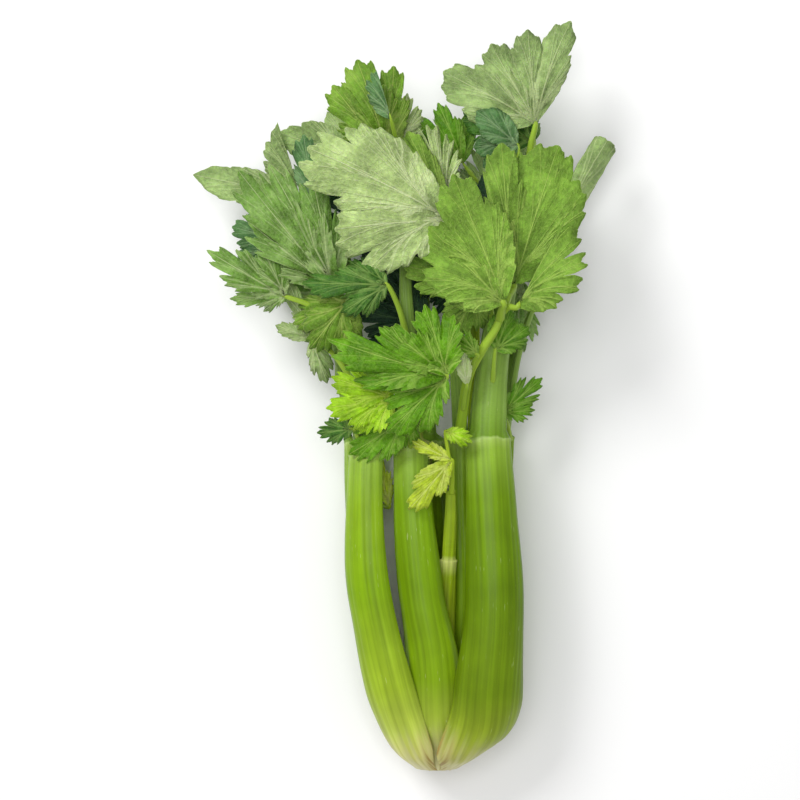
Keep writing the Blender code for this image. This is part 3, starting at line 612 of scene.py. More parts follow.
def heel_marks(node, colour, rise, ridge, lip, fibres):
    """The cream cords that run together at the root, and the brown along a stalk's lips there."""
    low = node(MAP, [rise, 0.2, 0.02], **SMOOTH)
    crest = node(MAP, [ridge, 0.55, 1.0, 0.0, 0.5], **SMOOTH)
    cords = node(MATH, [crest, low], **TIMES)
    colour = node(MIX, {0: cords, 6: colour, 7: linear("#dcd9a8")}, 2, **COLOUR)
    cream = node(MAP, [lip, 0.3, 0.9, 0.0, 0.85], **SMOOTH)
    near_root = node(MAP, [rise, 0.15, 0.05], **SMOOTH)
    cream = node(MATH, [cream, near_root], **TIMES)
    colour = node(MIX, {0: cream, 6: colour, 7: linear("#c3bd78")}, 2, **COLOUR)
    brown = node(MAP, [lip, 0.55, 0.85], **SMOOTH)
    for pattern, start, end, most in ((rise, 0.2, 0.08, 1.0), (fibres, 0.44, 0.6, 0.8)):
        share = node(MAP, [pattern, start, end, 0.0, most], **SMOOTH)
        brown = node(MATH, [brown, share], **TIMES)
    return node(MIX, {0: brown, 6: colour, 7: linear("#8c6c30")}, 2, **COLOUR)


def handling_marks(node, colour, lay, patches):
    """Pale scuffs about 0.5 mm wide and 10 mm long, and a few brown specks 1 mm across."""
    scuffs = drawn_out(node, lay, (1.7, 0.13, 1.0), 1.0, lean=0.06)
    scuffs = node(MAP, [scuffs, 0.72, 0.8, 0.0, 0.4], **SMOOTH)
    handled = node(MAP, [patches, 0.48, 0.6], **SMOOTH)
    scuffs = node(MATH, [scuffs, handled], **TIMES)
    colour = node(MIX, {0: scuffs, 6: colour, 7: linear("#d9e2a4")}, 2, **COLOUR)
    specks = node(CELLS, {"Vector": lay, "Scale": 0.024}, "Distance")
    specks = node(MAP, [specks, 0.02, 0.012, 0.0, 0.8], **SMOOTH)
    return node(MIX, {0: specks, 6: colour, 7: linear("#5e4a20")}, 2, **COLOUR)


def root_material():
    """Cut root: dried cream flesh, browned where the knife left it open to the air, with pale green skin that
    runs up into the stalks."""
    material, node = new_skin("celery_cut_root", {"Roughness": 0.7, "Specular IOR Level": 0.3})
    place_on = node("ShaderNodeTexCoord", output="Object")
    lay = node(STORED, output="Vector", attribute_name="lay")
    rise = node(STORED, output="Fac", attribute_name="rise")
    stains = node(NOISE, {"Vector": place_on, "Scale": 220.0, "Detail": 6.0})
    face = node(RAMP, [stains])
    set_stops(face, [(0.34, "#7a552c"), (0.46, "#b0935a"), (0.6, "#cfbf88"), (0.8, "#dbd3a6")])
    skin = node(RAMP, [drawn_out(node, lay, (1.1, 0.08, 1.0), 4.0)])
    set_stops(skin, [(0.3, "#a9a565"), (0.5, "#c3bf7e"), (0.7, "#d8d3a2")])
    above = node(MAP, [rise, 0.12, 0.3], **SMOOTH)
    colour = node(MIX, {0: above, 6: face, 7: skin}, 2, **COLOUR)
    edge = node(MATH, [rise, 0.1], **MINUS)
    edge = node(MATH, [edge], **SIZE_OF)
    rim = node(MAP, [edge, 0.09, 0.0, 0.0, 0.75], **SMOOTH)
    stained = node(MAP, [stains, 0.65, 0.4], **SMOOTH)
    rim = node(MATH, [rim, stained], **TIMES)
    colour = node(MIX, {0: rim, 6: colour, 7: linear("#7d5527")}, 2, **COLOUR)
    grain = node(NOISE, {"Vector": place_on, "Scale": 900.0, "Detail": 4.0})
    return finish_skin(material, colour, grain, 0.5, 0.0005)


def strand_material():
    """The ends of the root's strands: small pale corky dots in the cut face."""
    constants = {"Roughness": 0.75, "Specular IOR Level": 0.3, "Base Color": linear("#d9c998")}
    return new_skin("celery_root_strands", constants)[0]


# ---------------------------------------------------------------- shape functions

def blend(low, high, share):
    """A smooth step from low to high as share goes from 0 to 1."""
    share = np.clip(share, 0.0, 1.0)
    return low + (high - low) * share * share * (3.0 - 2.0 * share)


def unit(vectors):
    """Vectors made 1 long."""
    return vectors / np.linalg.norm(vectors, axis=1)[:, None]


def lengths_along(path):
    """The length of a path up to each of its points."""
    return np.concatenate([[0.0], np.cumsum(np.linalg.norm(np.diff(path, axis=0), axis=1))])


def ring(count):
    """Angles all the way round."""
    return np.linspace(0.0, 2 * math.pi, count, endpoint=False)


def smooth_path(points, shares):
    """Points on a Catmull-Rom curve through the given ones, at shares of its length."""
    points = np.asarray(points, dtype=float)
    ends = np.vstack([2 * points[0] - points[1], points, 2 * points[-1] - points[-2]])
    curve = []
    for index in range(1, len(ends) - 2):
        before, start, end, after = ends[index - 1:index + 3]
        for step in np.linspace(0.0, 1.0, CURVE_STEPS, endpoint=False):
            curve.append(0.5 * (2 * start + (end - before) * step
                                + (2 * before - 5 * start + 4 * end - after) * step ** 2
                                + (3 * start - before - 3 * end + after) * step ** 3))
    curve = np.array([*curve, points[-1]])
    lengths = lengths_along(curve)
    wanted = lengths[-1] * np.asarray(shares)
    return np.stack([np.interp(wanted, lengths, curve[:, axis]) for axis in range(3)], axis=1)


def swept(path, side, outward, across, up):
    """Rows of points around the places of a path, each so far across and so far up from its place."""
    return path[:, None] + side[:, None] * across[:, :, None] + outward[:, None] * up[:, :, None]


def grid_mesh(name, points, attributes, is_tube=True):
    """A mesh from a grid of points in millimetres: rows run along the piece, columns across it. A tube's
    columns close round it, and its ends are capped."""
    rows, columns = points.shape[:2]
    index = np.arange(rows * columns).reshape(rows, columns)
    last = columns if is_tube else columns - 1
    right = np.roll(index, -1, axis=1)
    quads = np.stack([index[:-1, :last], right[:-1, :last], right[1:, :last], index[1:, :last]], axis=-1)
    faces = quads.reshape(-1, 4).tolist()
    if is_tube:
        faces += [index[0, ::-1].tolist(), index[-1].tolist()]
    mesh = bpy.data.meshes.new(name)
    mesh.from_pydata((points.reshape(-1, 3) * MM).tolist(), [], faces)
    for key, values in attributes.items():
        kind, field = ("FLOAT_VECTOR", "vector") if values.ndim == 3 else ("FLOAT", "value")
        layer = mesh.attributes.new(key, kind, "POINT")
        layer.data.foreach_set(field, np.ascontiguousarray(values, dtype=np.float32).ravel())
    return mesh


def turn_faces(mesh, is_blade=False):
    """Turn the faces of a closed mesh outward, or those of a bare blade up, its base drawn to a point."""
    edit = bmesh.new()
    edit.from_mesh(mesh)
    if is_blade:
        bmesh.ops.remove_doubles(edit, verts=edit.verts, dist=SAME_PLACE * MM)
        bmesh.ops.dissolve_degenerate(edit, edges=edit.edges, dist=NO_LENGTH * MM)
    bmesh.ops.recalc_face_normals(edit, faces=edit.faces)
    if is_blade and sum(face.normal.z * face.calc_area() for face in edit.faces) < 0:
        bmesh.ops.reverse_faces(edit, faces=edit.faces)
    edit.to_mesh(mesh)
    edit.free()
    mesh.shade_smooth()
    return mesh


def add_object(name, data):
    """A new object in the scene."""
    item = bpy.data.objects.new(name, data)
    bpy.context.scene.collection.objects.link(item)
    return item


def joined(meshes):
    """Several meshes as one, with their attributes and materials."""
    pieces = [add_object("joining", mesh) for mesh in meshes]
    with bpy.context.temp_override(active_object=pieces[0], selected_editable_objects=pieces,
                                   selected_objects=pieces):
        bpy.ops.object.join()
    result = pieces[0].data
    bpy.data.objects.remove(pieces[0])
    return result


def place(name, mesh, node_name):
    """Put a finished piece in the scene, riding on the head in place of its CAD node."""
    piece = add_object(name, mesh)
    mesh.name = name
    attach(piece, "root")
    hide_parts(node_name)


# ---------------------------------------------------------------- geometry node trees

def new_tree(name, sizes):
    """A geometry node tree with a geometry in and out, a material input, and a named input for each size.
    Returns the tree, the function that adds a node to it, and its inputs."""
    tree = bpy.data.node_groups.new(name, "GeometryNodeTree")
    tree.interface.new_socket("Geometry", in_out="INPUT", socket_type="NodeSocketGeometry")
    tree.interface.new_socket("Geometry", in_out="OUTPUT", socket_type="NodeSocketGeometry")
    tree.interface.new_socket("Skin", in_out="INPUT", socket_type="NodeSocketMaterial")
    for size in sizes:
        kind = "NodeSocketInt" if size == "Count" else "NodeSocketFloat"
        tree.interface.new_socket(size, in_out="INPUT", socket_type=kind)
    return tree, partial(add_node, tree), tree.nodes.new("NodeGroupInput").outputs


def close_tree(tree, node, geometry, given):
    """End a tree in real geometry with its material."""
    real = node("GeometryNodeRealizeInstances", [geometry])
    skinned = node("GeometryNodeSetMaterial", {"Geometry": real, "Material": given["Skin"]})
    node("NodeGroupOutput", [skinned])
    return tree


def pushed_out(node, geometry, height):
    """A surface moved along its own normals by a height."""
    push = node(VECTOR_MATH, {0: node("GeometryNodeInputNormal"), "Scale": height}, operation="SCALE")
    return node("GeometryNodeSetPosition", {"Geometry": geometry, "Offset": push})


def rib_tree():
    """Long soft ribs on a stalk's outer face, uneven in width and in height, and an uneven belly."""
    tree, node, given = new_tree("stalk_ribs", ["Rib Count", "Rib Depth", "Unevenness"])
    around, outside = (node(FIELD, [name], "Attribute", data_type="FLOAT") for name in ("around", "outside"))
    lay = node(FIELD, ["lay"], "Attribute", data_type="FLOAT_VECTOR")
    noises = []  # by their features a millimetre around the stalk, along it and from stalk to stalk
    for stretch in ((0.11, 0.004, 0.02), (0.26, 0.005, 0.3), (0.05, 0.03, 0.02)):
        stretched = node(VECTOR_MATH, [lay, stretch], **TIMES)
        noises.append(node(NOISE, {"Vector": stretched, "Scale": 1.0, "Detail": 1.5}))
    drift, vigour, lumps = noises
    half_count = node(MATH, [given["Rib Count"], 0.5], **TIMES)
    phase = node(MATH, [around, half_count], **TIMES)
    phase = node(MATH, [drift, 3.0, phase], **TIMES_PLUS)
    wave = node(MATH, [phase, math.pi], **TIMES)
    wave = node(MATH, [wave], operation="SINE")
    wave = node(MATH, [wave], **SIZE_OF)
    wave = node(MATH, [wave, 0.7], operation="POWER")
    furrow = node(MATH, [wave, 1.0], **MINUS)
    strength = node(MAP, [vigour, 0.35, 0.65, 0.2, 1.0], **SMOOTH)
    furrow = node(MATH, [furrow, strength], **TIMES)
    ridge = node(MATH, [furrow, 1.0], **PLUS)
    depth = node(MATH, [outside, 0.8, 0.2], **TIMES_PLUS)
    depth = node(MATH, [depth, given["Rib Depth"]], **TIMES)
    lip = node(MATH, [around], **SIZE_OF)
    edge = node(MAP, [lip, 1.0, 0.9], **SMOOTH)
    depth = node(MATH, [depth, edge], **TIMES)
    sink = node(MATH, [furrow, depth], **TIMES)
    lump = node(MATH, [lumps, 0.5], **MINUS)
    height = node(MATH, [lump, given["Unevenness"], sink], **TIMES_PLUS)
    # The stored ridge share feeds the stalk skin: the cream cords at the root, and the painted shade in the
    # furrows and painted light on the crests.
    stored = node("GeometryNodeStoreNamedAttribute",
                  {"Geometry": given["Geometry"], "Name": "ridge", "Value": ridge},
                  data_type="FLOAT", domain="POINT")
    return close_tree(tree, node, pushed_out(node, stored, height), given)


def relief_tree():
    """A blade's relief: it swells between its side veins, sinks along them, and crinkles a little."""
    tree, node, given = new_tree("blade_relief", ["Pucker", "Crinkle"])
    lay = node(FIELD, ["lay"], "Attribute", data_type="FLOAT_VECTOR")
    swell = given["Pucker"]
    for name, start, end, least in (("vein", 0.1, 2.4, 0.0), ("midrib", 0.4, 3.0, 0.0),
                                    ("margin", 0.0, 2.5, 0.3)):
        away = node(FIELD, [name], "Attribute", data_type="FLOAT")
        share = node(MAP, [away, start, end, least, 1.0], **SMOOTH)
        swell = node(MATH, [swell, share], **TIMES)
    creases = node(NOISE, {"Vector": lay, "Scale": 0.2, "Detail": 2.0})
    creases = node(MATH, [creases, 0.5], **MINUS)
    height = node(MATH, [creases, given["Crinkle"], swell], **TIMES_PLUS)
    return close_tree(tree, node, pushed_out(node, given["Geometry"], height), given)


def strand_tree():
    """A ring of small domes in a cut face that looks along -Y."""
    tree, node, given = new_tree("strand_ring", ["Radius", "Dot Size", "Face", "Count"])
    circle = node("GeometryNodeMeshCircle", {"Vertices": given["Count"], "Radius": given["Radius"]})
    jitter = node("FunctionNodeRandomValue",
                  {0: (-STRAND_JITTER * MM,) * 3, 1: (STRAND_JITTER * MM,) * 3, "Seed": STRAND_SEED},
                  data_type="FLOAT_VECTOR")
    scattered = node("GeometryNodeSetPosition", {"Geometry": circle, "Offset": jitter})
    dot = node("GeometryNodeMeshIcoSphere", {"Radius": given["Dot Size"], "Subdivisions": 2})
    dots = node("GeometryNodeInstanceOnPoints", {"Points": scattered, "Instance": dot})
    turned = node("GeometryNodeTransform", {"Geometry": dots, "Rotation": (math.pi / 2, 0.0, 0.0)})
    middle = node("ShaderNodeCombineXYZ", [ROOT_X * MM, given["Face"], ROOT_HEIGHT * MM])
    moved = node("GeometryNodeTransform", {"Geometry": turned, "Translation": middle})
    return close_tree(tree, node, moved, given)


def grow(mesh, tree, values, thickness=0.0):
    """Run a tree on a mesh, give it a thickness where one is asked for, and return the plain result."""
    source = add_object("growing", mesh)
    modifier = source.modifiers.new("relief", "NODES")
    modifier.node_group = tree
    sockets = {item.name: item.identifier for item in tree.interface.items_tree if item.in_out == "INPUT"}
    for name, value in values.items():
        modifier[sockets[name]] = value
    if thickness:
        solid = source.modifiers.new("blade", "SOLIDIFY")
        solid.thickness = thickness * MM
        solid.offset = -1.0
        solid.material_offset = 1
    evaluated = source.evaluated_get(bpy.context.evaluated_depsgraph_get())
    result = bpy.data.meshes.new_from_object(evaluated)
    bpy.data.objects.remove(source)
    return result


# ---------------------------------------------------------------- stalks

def stalk_width(stalk, reach, climb):
    """How wide a stalk is below its joint: it flares out of the root, and narrows again towards the joint."""
    base_width = 2 * reach * math.sin(math.radians(stalk.base_spread))
    width = blend(base_width, stalk.flare, climb / HEEL_FLARE)
    width = blend(width, stalk.width, (climb - FLARE_START) / (FLARE_END - FLARE_START))
    return blend(width, stalk.width * JOINT_SHARE, (climb - FLARE_END) / (1 - FLARE_END))


def stalk_places():
    """Where a stalk's sections stand, as shares of its length up to its joint, and of its rachis beyond it.
    They crowd at the root and around the joint."""
    climb = np.union1d(np.linspace(0.0, 1.0, STALK_SECTIONS) ** SECTION_CROWDING,
                       np.linspace(1.0 - JOINT_FINE, 1.0, JOINT_SECTIONS))
    beyond = np.union1d(np.linspace(0.0, 1.0, RACHIS_SECTIONS), np.linspace(0.0, RACHIS_FINE, JOINT_SECTIONS))
    return climb, beyond[1:]


def stalk_grid(stalk):
    """Points and surface attributes of a stalk: a bent crescent that runs on into its rachis. A heart stalk
    starts on top of the root, and the skin of every other stalk lower, at the rim of the root's cut."""
    base_angle = math.radians(stalk.base_turn)
    covers_root = stalk.layer != HEART
    reach = CUT_SHARE * ROOT_RADIUS + SKIN_LIFT[stalk.layer] if covers_root else stalk.layer
    start = ROOT_END + (CUT_DEPTH if covers_root else ROOT_THICKNESS - HEART_OVERLAP)
    base = np.array([ROOT_X + reach * math.sin(base_angle), start,
                     ROOT_HEIGHT + reach * math.cos(base_angle)])
    route = stalk.route
    if stalk.layer == OUTER:
        route = [base + (np.array(route[1]) - base) * SHOULDER, *route[1:]]
    climb, beyond = stalk_places()
    path = np.vstack([smooth_path([base, *route], climb), smooth_path([route[-1], *stalk.rachis], beyond)])
    share = np.concatenate([np.zeros_like(climb), beyond])
    climb = np.concatenate([climb, np.ones_like(beyond)])
    turn = np.radians(blend(stalk.base_turn, stalk.turn, climb / TURN_END))
    first, last = stalk.girth
    rachis_width = blend(stalk.width * JOINT_SHARE, first, share / JOINT_LENGTH) + (last - first) * share
    width = np.where(share > 0, rachis_width, stalk_width(stalk, reach, climb))
    width += JOINT_RING * np.exp(-((climb + share - 1.0) / JOINT_RING_LENGTH) ** 2)
    spread = np.radians(np.where(share > 0, blend(BELLY_SPREAD, RACHIS_SPREAD, 2 * share),
                                 blend(stalk.base_spread, BELLY_SPREAD, climb / SPREAD_END)))
    thickness = blend(CUT_THICKNESS if covers_root else BASE_THICKNESS, BELLY_THICKNESS, climb / SWELL_END)
    thickness = np.minimum(thickness, FLATTEST * width)
    half_chord = width / 2 / np.sin(spread)
    thickness = np.where(share > 0, np.minimum(thickness, RACHIS_FILL * half_chord), thickness)
    radius = half_chord + LIP_DEPTH * thickness
    points, attributes = crescent_grid(path, turn, radius, spread, thickness, climb, share)
    points[:, :, 2] = np.maximum(points[:, :, 2], LOWEST)
    return points, attributes


def crescent_grid(path, turn, radius, spread, thickness, climb, share):
    """Sweep a bent oval along a path. Its rounded edges are the lips of the stalk's channel."""
    slopes = blend(np.array([[0.0, 1.0, 0.0]]), unit(np.gradient(path, axis=0)), (climb / HEEL)[:, None])
    tangent = unit(slopes)
    outward = np.stack([np.sin(turn), np.zeros_like(turn), np.cos(turn)], axis=1)
    outward = unit(outward - tangent * np.sum(outward * tangent, axis=1)[:, None])
    outer = np.linspace(-math.pi / 2, math.pi / 2, OUTER_POINTS, endpoint=False)
    inner = np.linspace(math.pi / 2, 1.5 * math.pi, INNER_POINTS, endpoint=False)
    swing = np.concatenate([outer, inner])
    bulge = np.sign(np.cos(swing)) * np.abs(np.cos(swing)) ** LIP_ROUNDING
    theta = spread[:, None] * np.sin(swing)[None, :]
    reach = radius[:, None] - thickness[:, None] * 0.5 * (1 - bulge[None, :])
    points = swept(path, np.cross(tangent, outward), outward, reach * np.sin(theta),
                   reach * np.cos(theta) - radius[:, None])
    ones = np.ones((len(path), len(swing)))
    outside = (np.arange(len(swing)) < OUTER_POINTS) * ones
    around = np.sin(swing) * ones
    lay = np.stack([around * (radius * spread)[:, None], lengths_along(path)[:, None] * ones,
                    outside * FACES_APART + radius.mean() * STALKS_APART], axis=-1)
    return points, {"around": around, "outside": outside, "rise": (climb + share)[:, None] * ones, "lay": lay}


def make_stalk(name, grid, tree, skin, ribs, depth, unevenness):
    """A stalk or a branch from its points and attributes, ribbed on the outer face."""
    mesh = grid_mesh(name, *grid)
    mesh.materials.append(skin)
    mesh = grow(turn_faces(mesh), tree, {"Skin": skin, "Rib Count": float(ribs), "Rib Depth": depth * MM,
                                         "Unevenness": unevenness * MM})
    place(f"{name}_skin", mesh, name)


def branch_grid():
    """Points and surface attributes of the side branch of the right stalk."""
    path = smooth_path(BRANCH_ROUTE, np.linspace(0.0, 1.0, BRANCH_SECTIONS))
    spread = np.full(BRANCH_SECTIONS, math.radians(RACHIS_SPREAD))
    radius = np.linspace(*BRANCH_GIRTH, BRANCH_SECTIONS) / 2 / np.sin(spread)
    return crescent_grid(path, np.zeros(BRANCH_SECTIONS), radius, spread, radius * BRANCH_FILL,
                         np.ones(BRANCH_SECTIONS), np.linspace(0.2, 1.0, BRANCH_SECTIONS))


# ---------------------------------------------------------------- the root

def make_root():
    """The cut root: a shallow cone with a rough cut face, and the strands that end in it."""
    draw = np.random.default_rng(ROOT_SEED)
    shares = np.linspace(0.0, 1.0, ROOT_SECTIONS)
    reach, depth = (np.interp(shares, np.linspace(0.0, 1.0, len(ROOT_PROFILE)), column)[:, None]
                    for column in np.array(ROOT_PROFILE).T)
    swing = ring(ROOT_POINTS)
    phases = draw.uniform(0.0, 2 * math.pi, 4)
    lobed = sum(np.sin(count * swing + phase) / count for count, phase in zip((3, 5, 9, 14), phases))
    shares = shares[:, None]
    radius = np.minimum(ROOT_RADIUS * reach * (1 + ROOT_UNEVENNESS * lobed * (1 - shares)), ROOT_RADIUS)
    rough = ROOT_ROUGHNESS * np.sin(11 * swing + 9 * shares) * np.sin(23 * shares + 4)
    along = ROOT_END + ROOT_THICKNESS * depth + np.abs(rough) * (1 - depth) * (reach < CUT_EDGE)
    points = np.stack([ROOT_X + radius * np.cos(swing), along, ROOT_HEIGHT + radius * np.sin(swing)], axis=-1)
    ones = np.ones_like(radius)
    lay = np.stack([swing * ROOT_RADIUS * ones, depth * ROOT_THICKNESS * ones, ones], axis=-1)
    mesh = grid_mesh("root", points, {"rise": depth * ones, "lay": lay})
    mesh.materials.append(root_material())
    meshes = [turn_faces(mesh)]
    tree, skin = strand_tree(), strand_material()
    for share, count in STRAND_RINGS:
        meshes.append(grow(bpy.data.meshes.new("strands"), tree, {
            "Skin": skin, "Radius": ROOT_RADIUS * share * MM, "Dot Size": STRAND_SIZE * MM,
            "Face": (ROOT_END + STRAND_INSET) * MM, "Count": count}))
    place("root_plate_cut", joined(meshes), "root_plate")


# ---------------------------------------------------------------- leaves

def half_opening(lobe):
    """Half the angle that a lobe's petal-shaped outline opens at its base, in radians."""
    widest = WIDEST_HALF_OPENING if lobe.half else WIDEST_OPENING
    return math.radians(min(widest, OPENING * lobe.width / lobe.length))


def fan_width(lobe, t, s):
    """How wide half of a lobe's fan of veins is at a place, in millimetres."""
    out = s * (VEIN_START + (1 - VEIN_START) * s)
    return half_opening(lobe) * lobe.length * np.cos(t * math.pi / 2) * out


def petal(lobe, t, s):
    """A place on a lobe: t runs across the fan from -1 to 1 and s runs out from its base along the veins."""
    angle = half_opening(lobe) * t * (VEIN_START + (1 - VEIN_START) * s)
    distance = s * lobe.length * np.cos(t * math.pi / 2)
    return distance * np.cos(angle), distance * np.sin(angle)


def margin_plan(lobe, draw):
    """Where a lobe's teeth and the notches between them stand along its margin, and which teeth end a main
    vein. The teeth lean towards the tip."""
    low, high = (0.0 if lobe.half > 0 else -1.0), (0.0 if lobe.half < 0 else 1.0)
    t = np.linspace(low, high, MARGIN_STEPS)
    arc = lengths_along(np.stack(petal(lobe, t, 1.0), axis=1))
    first, tip, last = np.interp([max(low, -TOOTHED), 0.0, min(high, TOOTHED)], t, arc)
    spacing = float(np.clip(lobe.length * TOOTH_SHARE, CLOSEST_TEETH, TOOTH_SPACING))
    before, after = (max(0, round(room / spacing - 0.5)) for room in (tip - first, last - tip))
    spacing = max((tip - first) / (before + 0.5), (last - tip) / (after + 0.5))
    steps = np.arange(-before, after + 1)
    shake = draw.uniform(-TOOTH_SHAKE, TOOTH_SHAKE, len(steps)) - TOOTH_LEAN * np.sign(steps)
    teeth = tip + (steps + np.where(steps == 0, 0.0, shake)) * spacing
    notches = tip + (np.arange(-before, after + 2) - 0.5) * spacing
    main_veins = MAIN_VEINS_BROAD if lobe.width > BROAD_SHARE * lobe.length else MAIN_VEINS_SLIM
    stride = max(2, round((before + after + 1) / main_veins))
    mains = [index for index in range(len(teeth)) if (index - before) % stride == 0]
    return t, arc, teeth, notches, mains


def margin_cut(arc_at, teeth, notches, mains, lobe, draw):
    """How far each vein line runs before the margin ends it: teeth, and deeper cuts between main veins."""
    spacing = notches[1] - notches[0]
    owner = np.clip(np.searchsorted(notches, arc_at) - 1, 0, len(teeth) - 1)
    half = np.where(arc_at > teeth[owner], notches[owner + 1] - teeth[owner], teeth[owner] - notches[owner])
    away = np.clip(np.abs(arc_at - teeth[owner]) / half, 0.0, 1.0)
    depth = spacing * TOOTH_DEPTH * draw.uniform(*TOOTH_SIZES, len(teeth))[owner]
    small_notch = SMALL_NOTCH * np.clip(1 - np.abs(away - 0.5) / 0.25, 0.0, 1.0)
    side = (1 - TOOTH_ROUNDING) * away + TOOTH_ROUNDING * away ** 2
    bite = depth * (side + small_notch) / lobe.length
    cuts = [notches[(first + last) // 2 + 1] for first, last in zip(mains[:-1], mains[1:])]
    if not cuts:
        return bite
    ends = [2 * notches[0] - cuts[0], *cuts, 2 * notches[-1] - cuts[-1]]
    for start, end in zip(ends[:-1], ends[1:]):
        inside = (arc_at >= start) & (arc_at < end)
        across = np.abs(2 * (arc_at - start) / (end - start) - 1)
        sinus = SINUS_DEPTH * across ** SINUS_POWER * draw.uniform(*SINUS_SIZES)
        bite = np.where(inside, bite + sinus, bite)
    return bite


def vein_distances(lobe, t, s, ends, mains):
    """Distances in millimetres to the nearest side vein, and to the nearest main vein in its own half-widths.
    The main veins part near the base, and the side veins leave them one after another on the way out."""
    spread = fan_width(lobe, t, s)
    side = np.full(t.shape, NO_VEIN)
    main = np.full(t.shape, NO_VEIN)
    parents = [min(mains, key=lambda other: abs(ends[other] - end)) for end in ends]
    widest = max(abs(ends[parent] - end) for parent, end in zip(parents, ends))
    for index, (parent, end) in enumerate(zip(parents, ends)):
        trunk = ends[parent] * (MAIN_START + (1 - MAIN_START) * np.clip(s / MAIN_PARTED, 0, 1))
        if index == parent:
            half_width = MAIN_VEIN * (1.15 - 0.85 * s) * (1.35 if abs(end) < 0.02 else 0.8)
            main = np.minimum(main, np.abs(t - trunk) * spread / half_width)
            continue
        fork = FIRST_FORK + (LAST_FORK - FIRST_FORK) * (1 - abs(end - ends[parent]) / widest)
        share = np.clip((s - fork) / (1 - fork), 0.0, 1.0) ** SIDE_VEIN_BEND
        line = trunk + (end - ends[parent]) * share
        side = np.minimum(side, np.where(s > fork, np.abs(t - line) * spread, NO_VEIN))
    return side, main


def margin_columns(arc, teeth, notches):
    """Places along the margin where the blade's columns stand: close together around each tooth."""
    low, high = 0.02 * arc[-1], 0.98 * arc[-1]
    columns = [np.linspace(low, max(notches[0], low), 5, endpoint=False),
               np.linspace(min(notches[-1], high), high, 6)]
    for tooth, start, end in zip(teeth, notches[:-1], notches[1:]):
        columns.append(np.linspace(start, tooth, COLUMNS_PER_TOOTH // 2, endpoint=False))
        columns.append(np.linspace(tooth, end, COLUMNS_PER_TOOTH // 2, endpoint=False))
    places = np.unique(np.concatenate(columns))
    return places[(places > 0.0) & (places < arc[-1])]


def margin_run(leaf, lobe, arc_at, t, plan, draw):
    """How far out each column of a blade runs, as a share of the plain petal."""
    cut = margin_cut(arc_at, *plan, lobe, draw) * blend(0.0, 1.0, (CUT_TO - np.abs(t)) / CUT_FADE)
    narrowing = (1 - np.abs(t)) / np.cos(t * math.pi / 2)
    return BLADE_REACH - leaf.teeth * cut - leaf.point * (1 - narrowing)


def blade_height(leaf, lobe, x, y, share, draw):
    """The height of a blade above its base: its bow, its folds, its ruffled margin and its drooping tip."""
    distance = np.hypot(x, y)
    along = distance / lobe.length
    edge_share = share ** 3 * np.minimum(distance / RUFFLED_FROM, 1.0)
    phases = draw.uniform(0, 2 * math.pi, 5)
    angle = np.arctan2(y, x + 1e-6) * lobe.length
    short, long = (np.sin(angle / length + phase) for length, phase in zip(RUFFLE_LENGTHS, phases))
    lengthwise, crosswise, slanting = (np.sin(way / length + phase) for way, length, phase
                                       in zip((x, y, x + y), BILLOW_LENGTHS, phases[2:]))
    billow = lengthwise * crosswise + 0.8 * slanting
    height = lobe.lift * along + leaf.bow * np.sin(math.pi * np.clip(along, 0, 1)) - TIP_DROOP * along ** 3
    height += RUFFLE * edge_share * (short + 1.4 * long)
    height += BILLOW * billow * np.minimum(distance / BILLOWED_FROM, 1.0)
    height += draw.uniform(-TILT, TILT) * y - np.abs(y) * math.tan(math.radians(leaf.fold))
    if lobe.half:
        height -= FOLD_DROP * np.clip(1 - np.abs(y) / FOLD_ROUNDING, 0.0, 1.0) ** 2
    return height


def curled(leaf, lobe, x, y, draw):
    """A lobe's places wrapped round its midrib, which sways to one side, and how far that takes them down."""
    angle = math.radians(leaf.curl) * y / (lobe.width / 2)
    radius = lobe.width / 2 / math.sin(math.radians(min(leaf.curl, 90.0)))
    bend = 2 * (lobe.sway + draw.uniform(-SWAY, SWAY) * lobe.length) / lobe.length ** 2
    across = radius * np.sin(angle)
    return x - across * np.sin(bend * x), across + bend * x ** 2 / 2, CURL_DROP * radius * (1 - np.cos(angle))


def lobe_mesh(leaf, lobe, seed):
    """A lobe's bare surface in place, with the attributes that its relief and its skin are drawn from."""
    draw = np.random.default_rng(seed)
    t_line, arc, *plan = margin_plan(lobe, draw)
    teeth, notches, mains = plan
    arc_at = margin_columns(arc, teeth, notches)
    t = np.interp(arc_at, arc, t_line)
    run = margin_run(leaf, lobe, arc_at, t, plan, draw)
    row_spacing = REAR_ROW_SPACING if leaf.skin == "shadow" else ROW_SPACING
    rows = max(FEWEST_ROWS, round(lobe.length / row_spacing))
    s = np.linspace(BLADE_START, 1.0, rows)[:, None] * run
    t = t * np.ones_like(s)
    x, y = petal(lobe, t, s)
    ends = np.sort(np.concatenate([teeth, notches[1:-1]]))
    main_ends = [int(np.argmin(np.abs(ends - teeth[index]))) for index in mains]
    side_vein, main_vein = vein_distances(lobe, t, s, np.interp(ends, arc, t_line), main_ends)
    margin = (run - s) * lobe.length * np.cos(t * math.pi / 2)
    x_bent, y_bent, drop = curled(leaf, lobe, x, y, draw)
    height = blade_height(leaf, lobe, x, y_bent, s / run, draw) - drop
    heading = math.radians(lobe.heading)
    points = np.stack([x_bent * math.cos(heading) - y_bent * math.sin(heading),
                       x_bent * math.sin(heading) + y_bent * math.cos(heading), height], axis=-1)
    points += np.array(leaf.base, dtype=float)
    depth = np.full_like(s, seed * LOBES_APART)
    flow = np.stack([t * half_opening(lobe) * lobe.length * 0.6, s * lobe.length, depth], axis=-1)
    return grid_mesh("lobe", points, {
        "vein": side_vein, "midrib": main_vein, "margin": margin, "lay": np.stack([x, y, depth], axis=-1),
        "flow": flow, "tint": np.full_like(s, draw.uniform(-1.0, 1.0))}, is_tube=False)


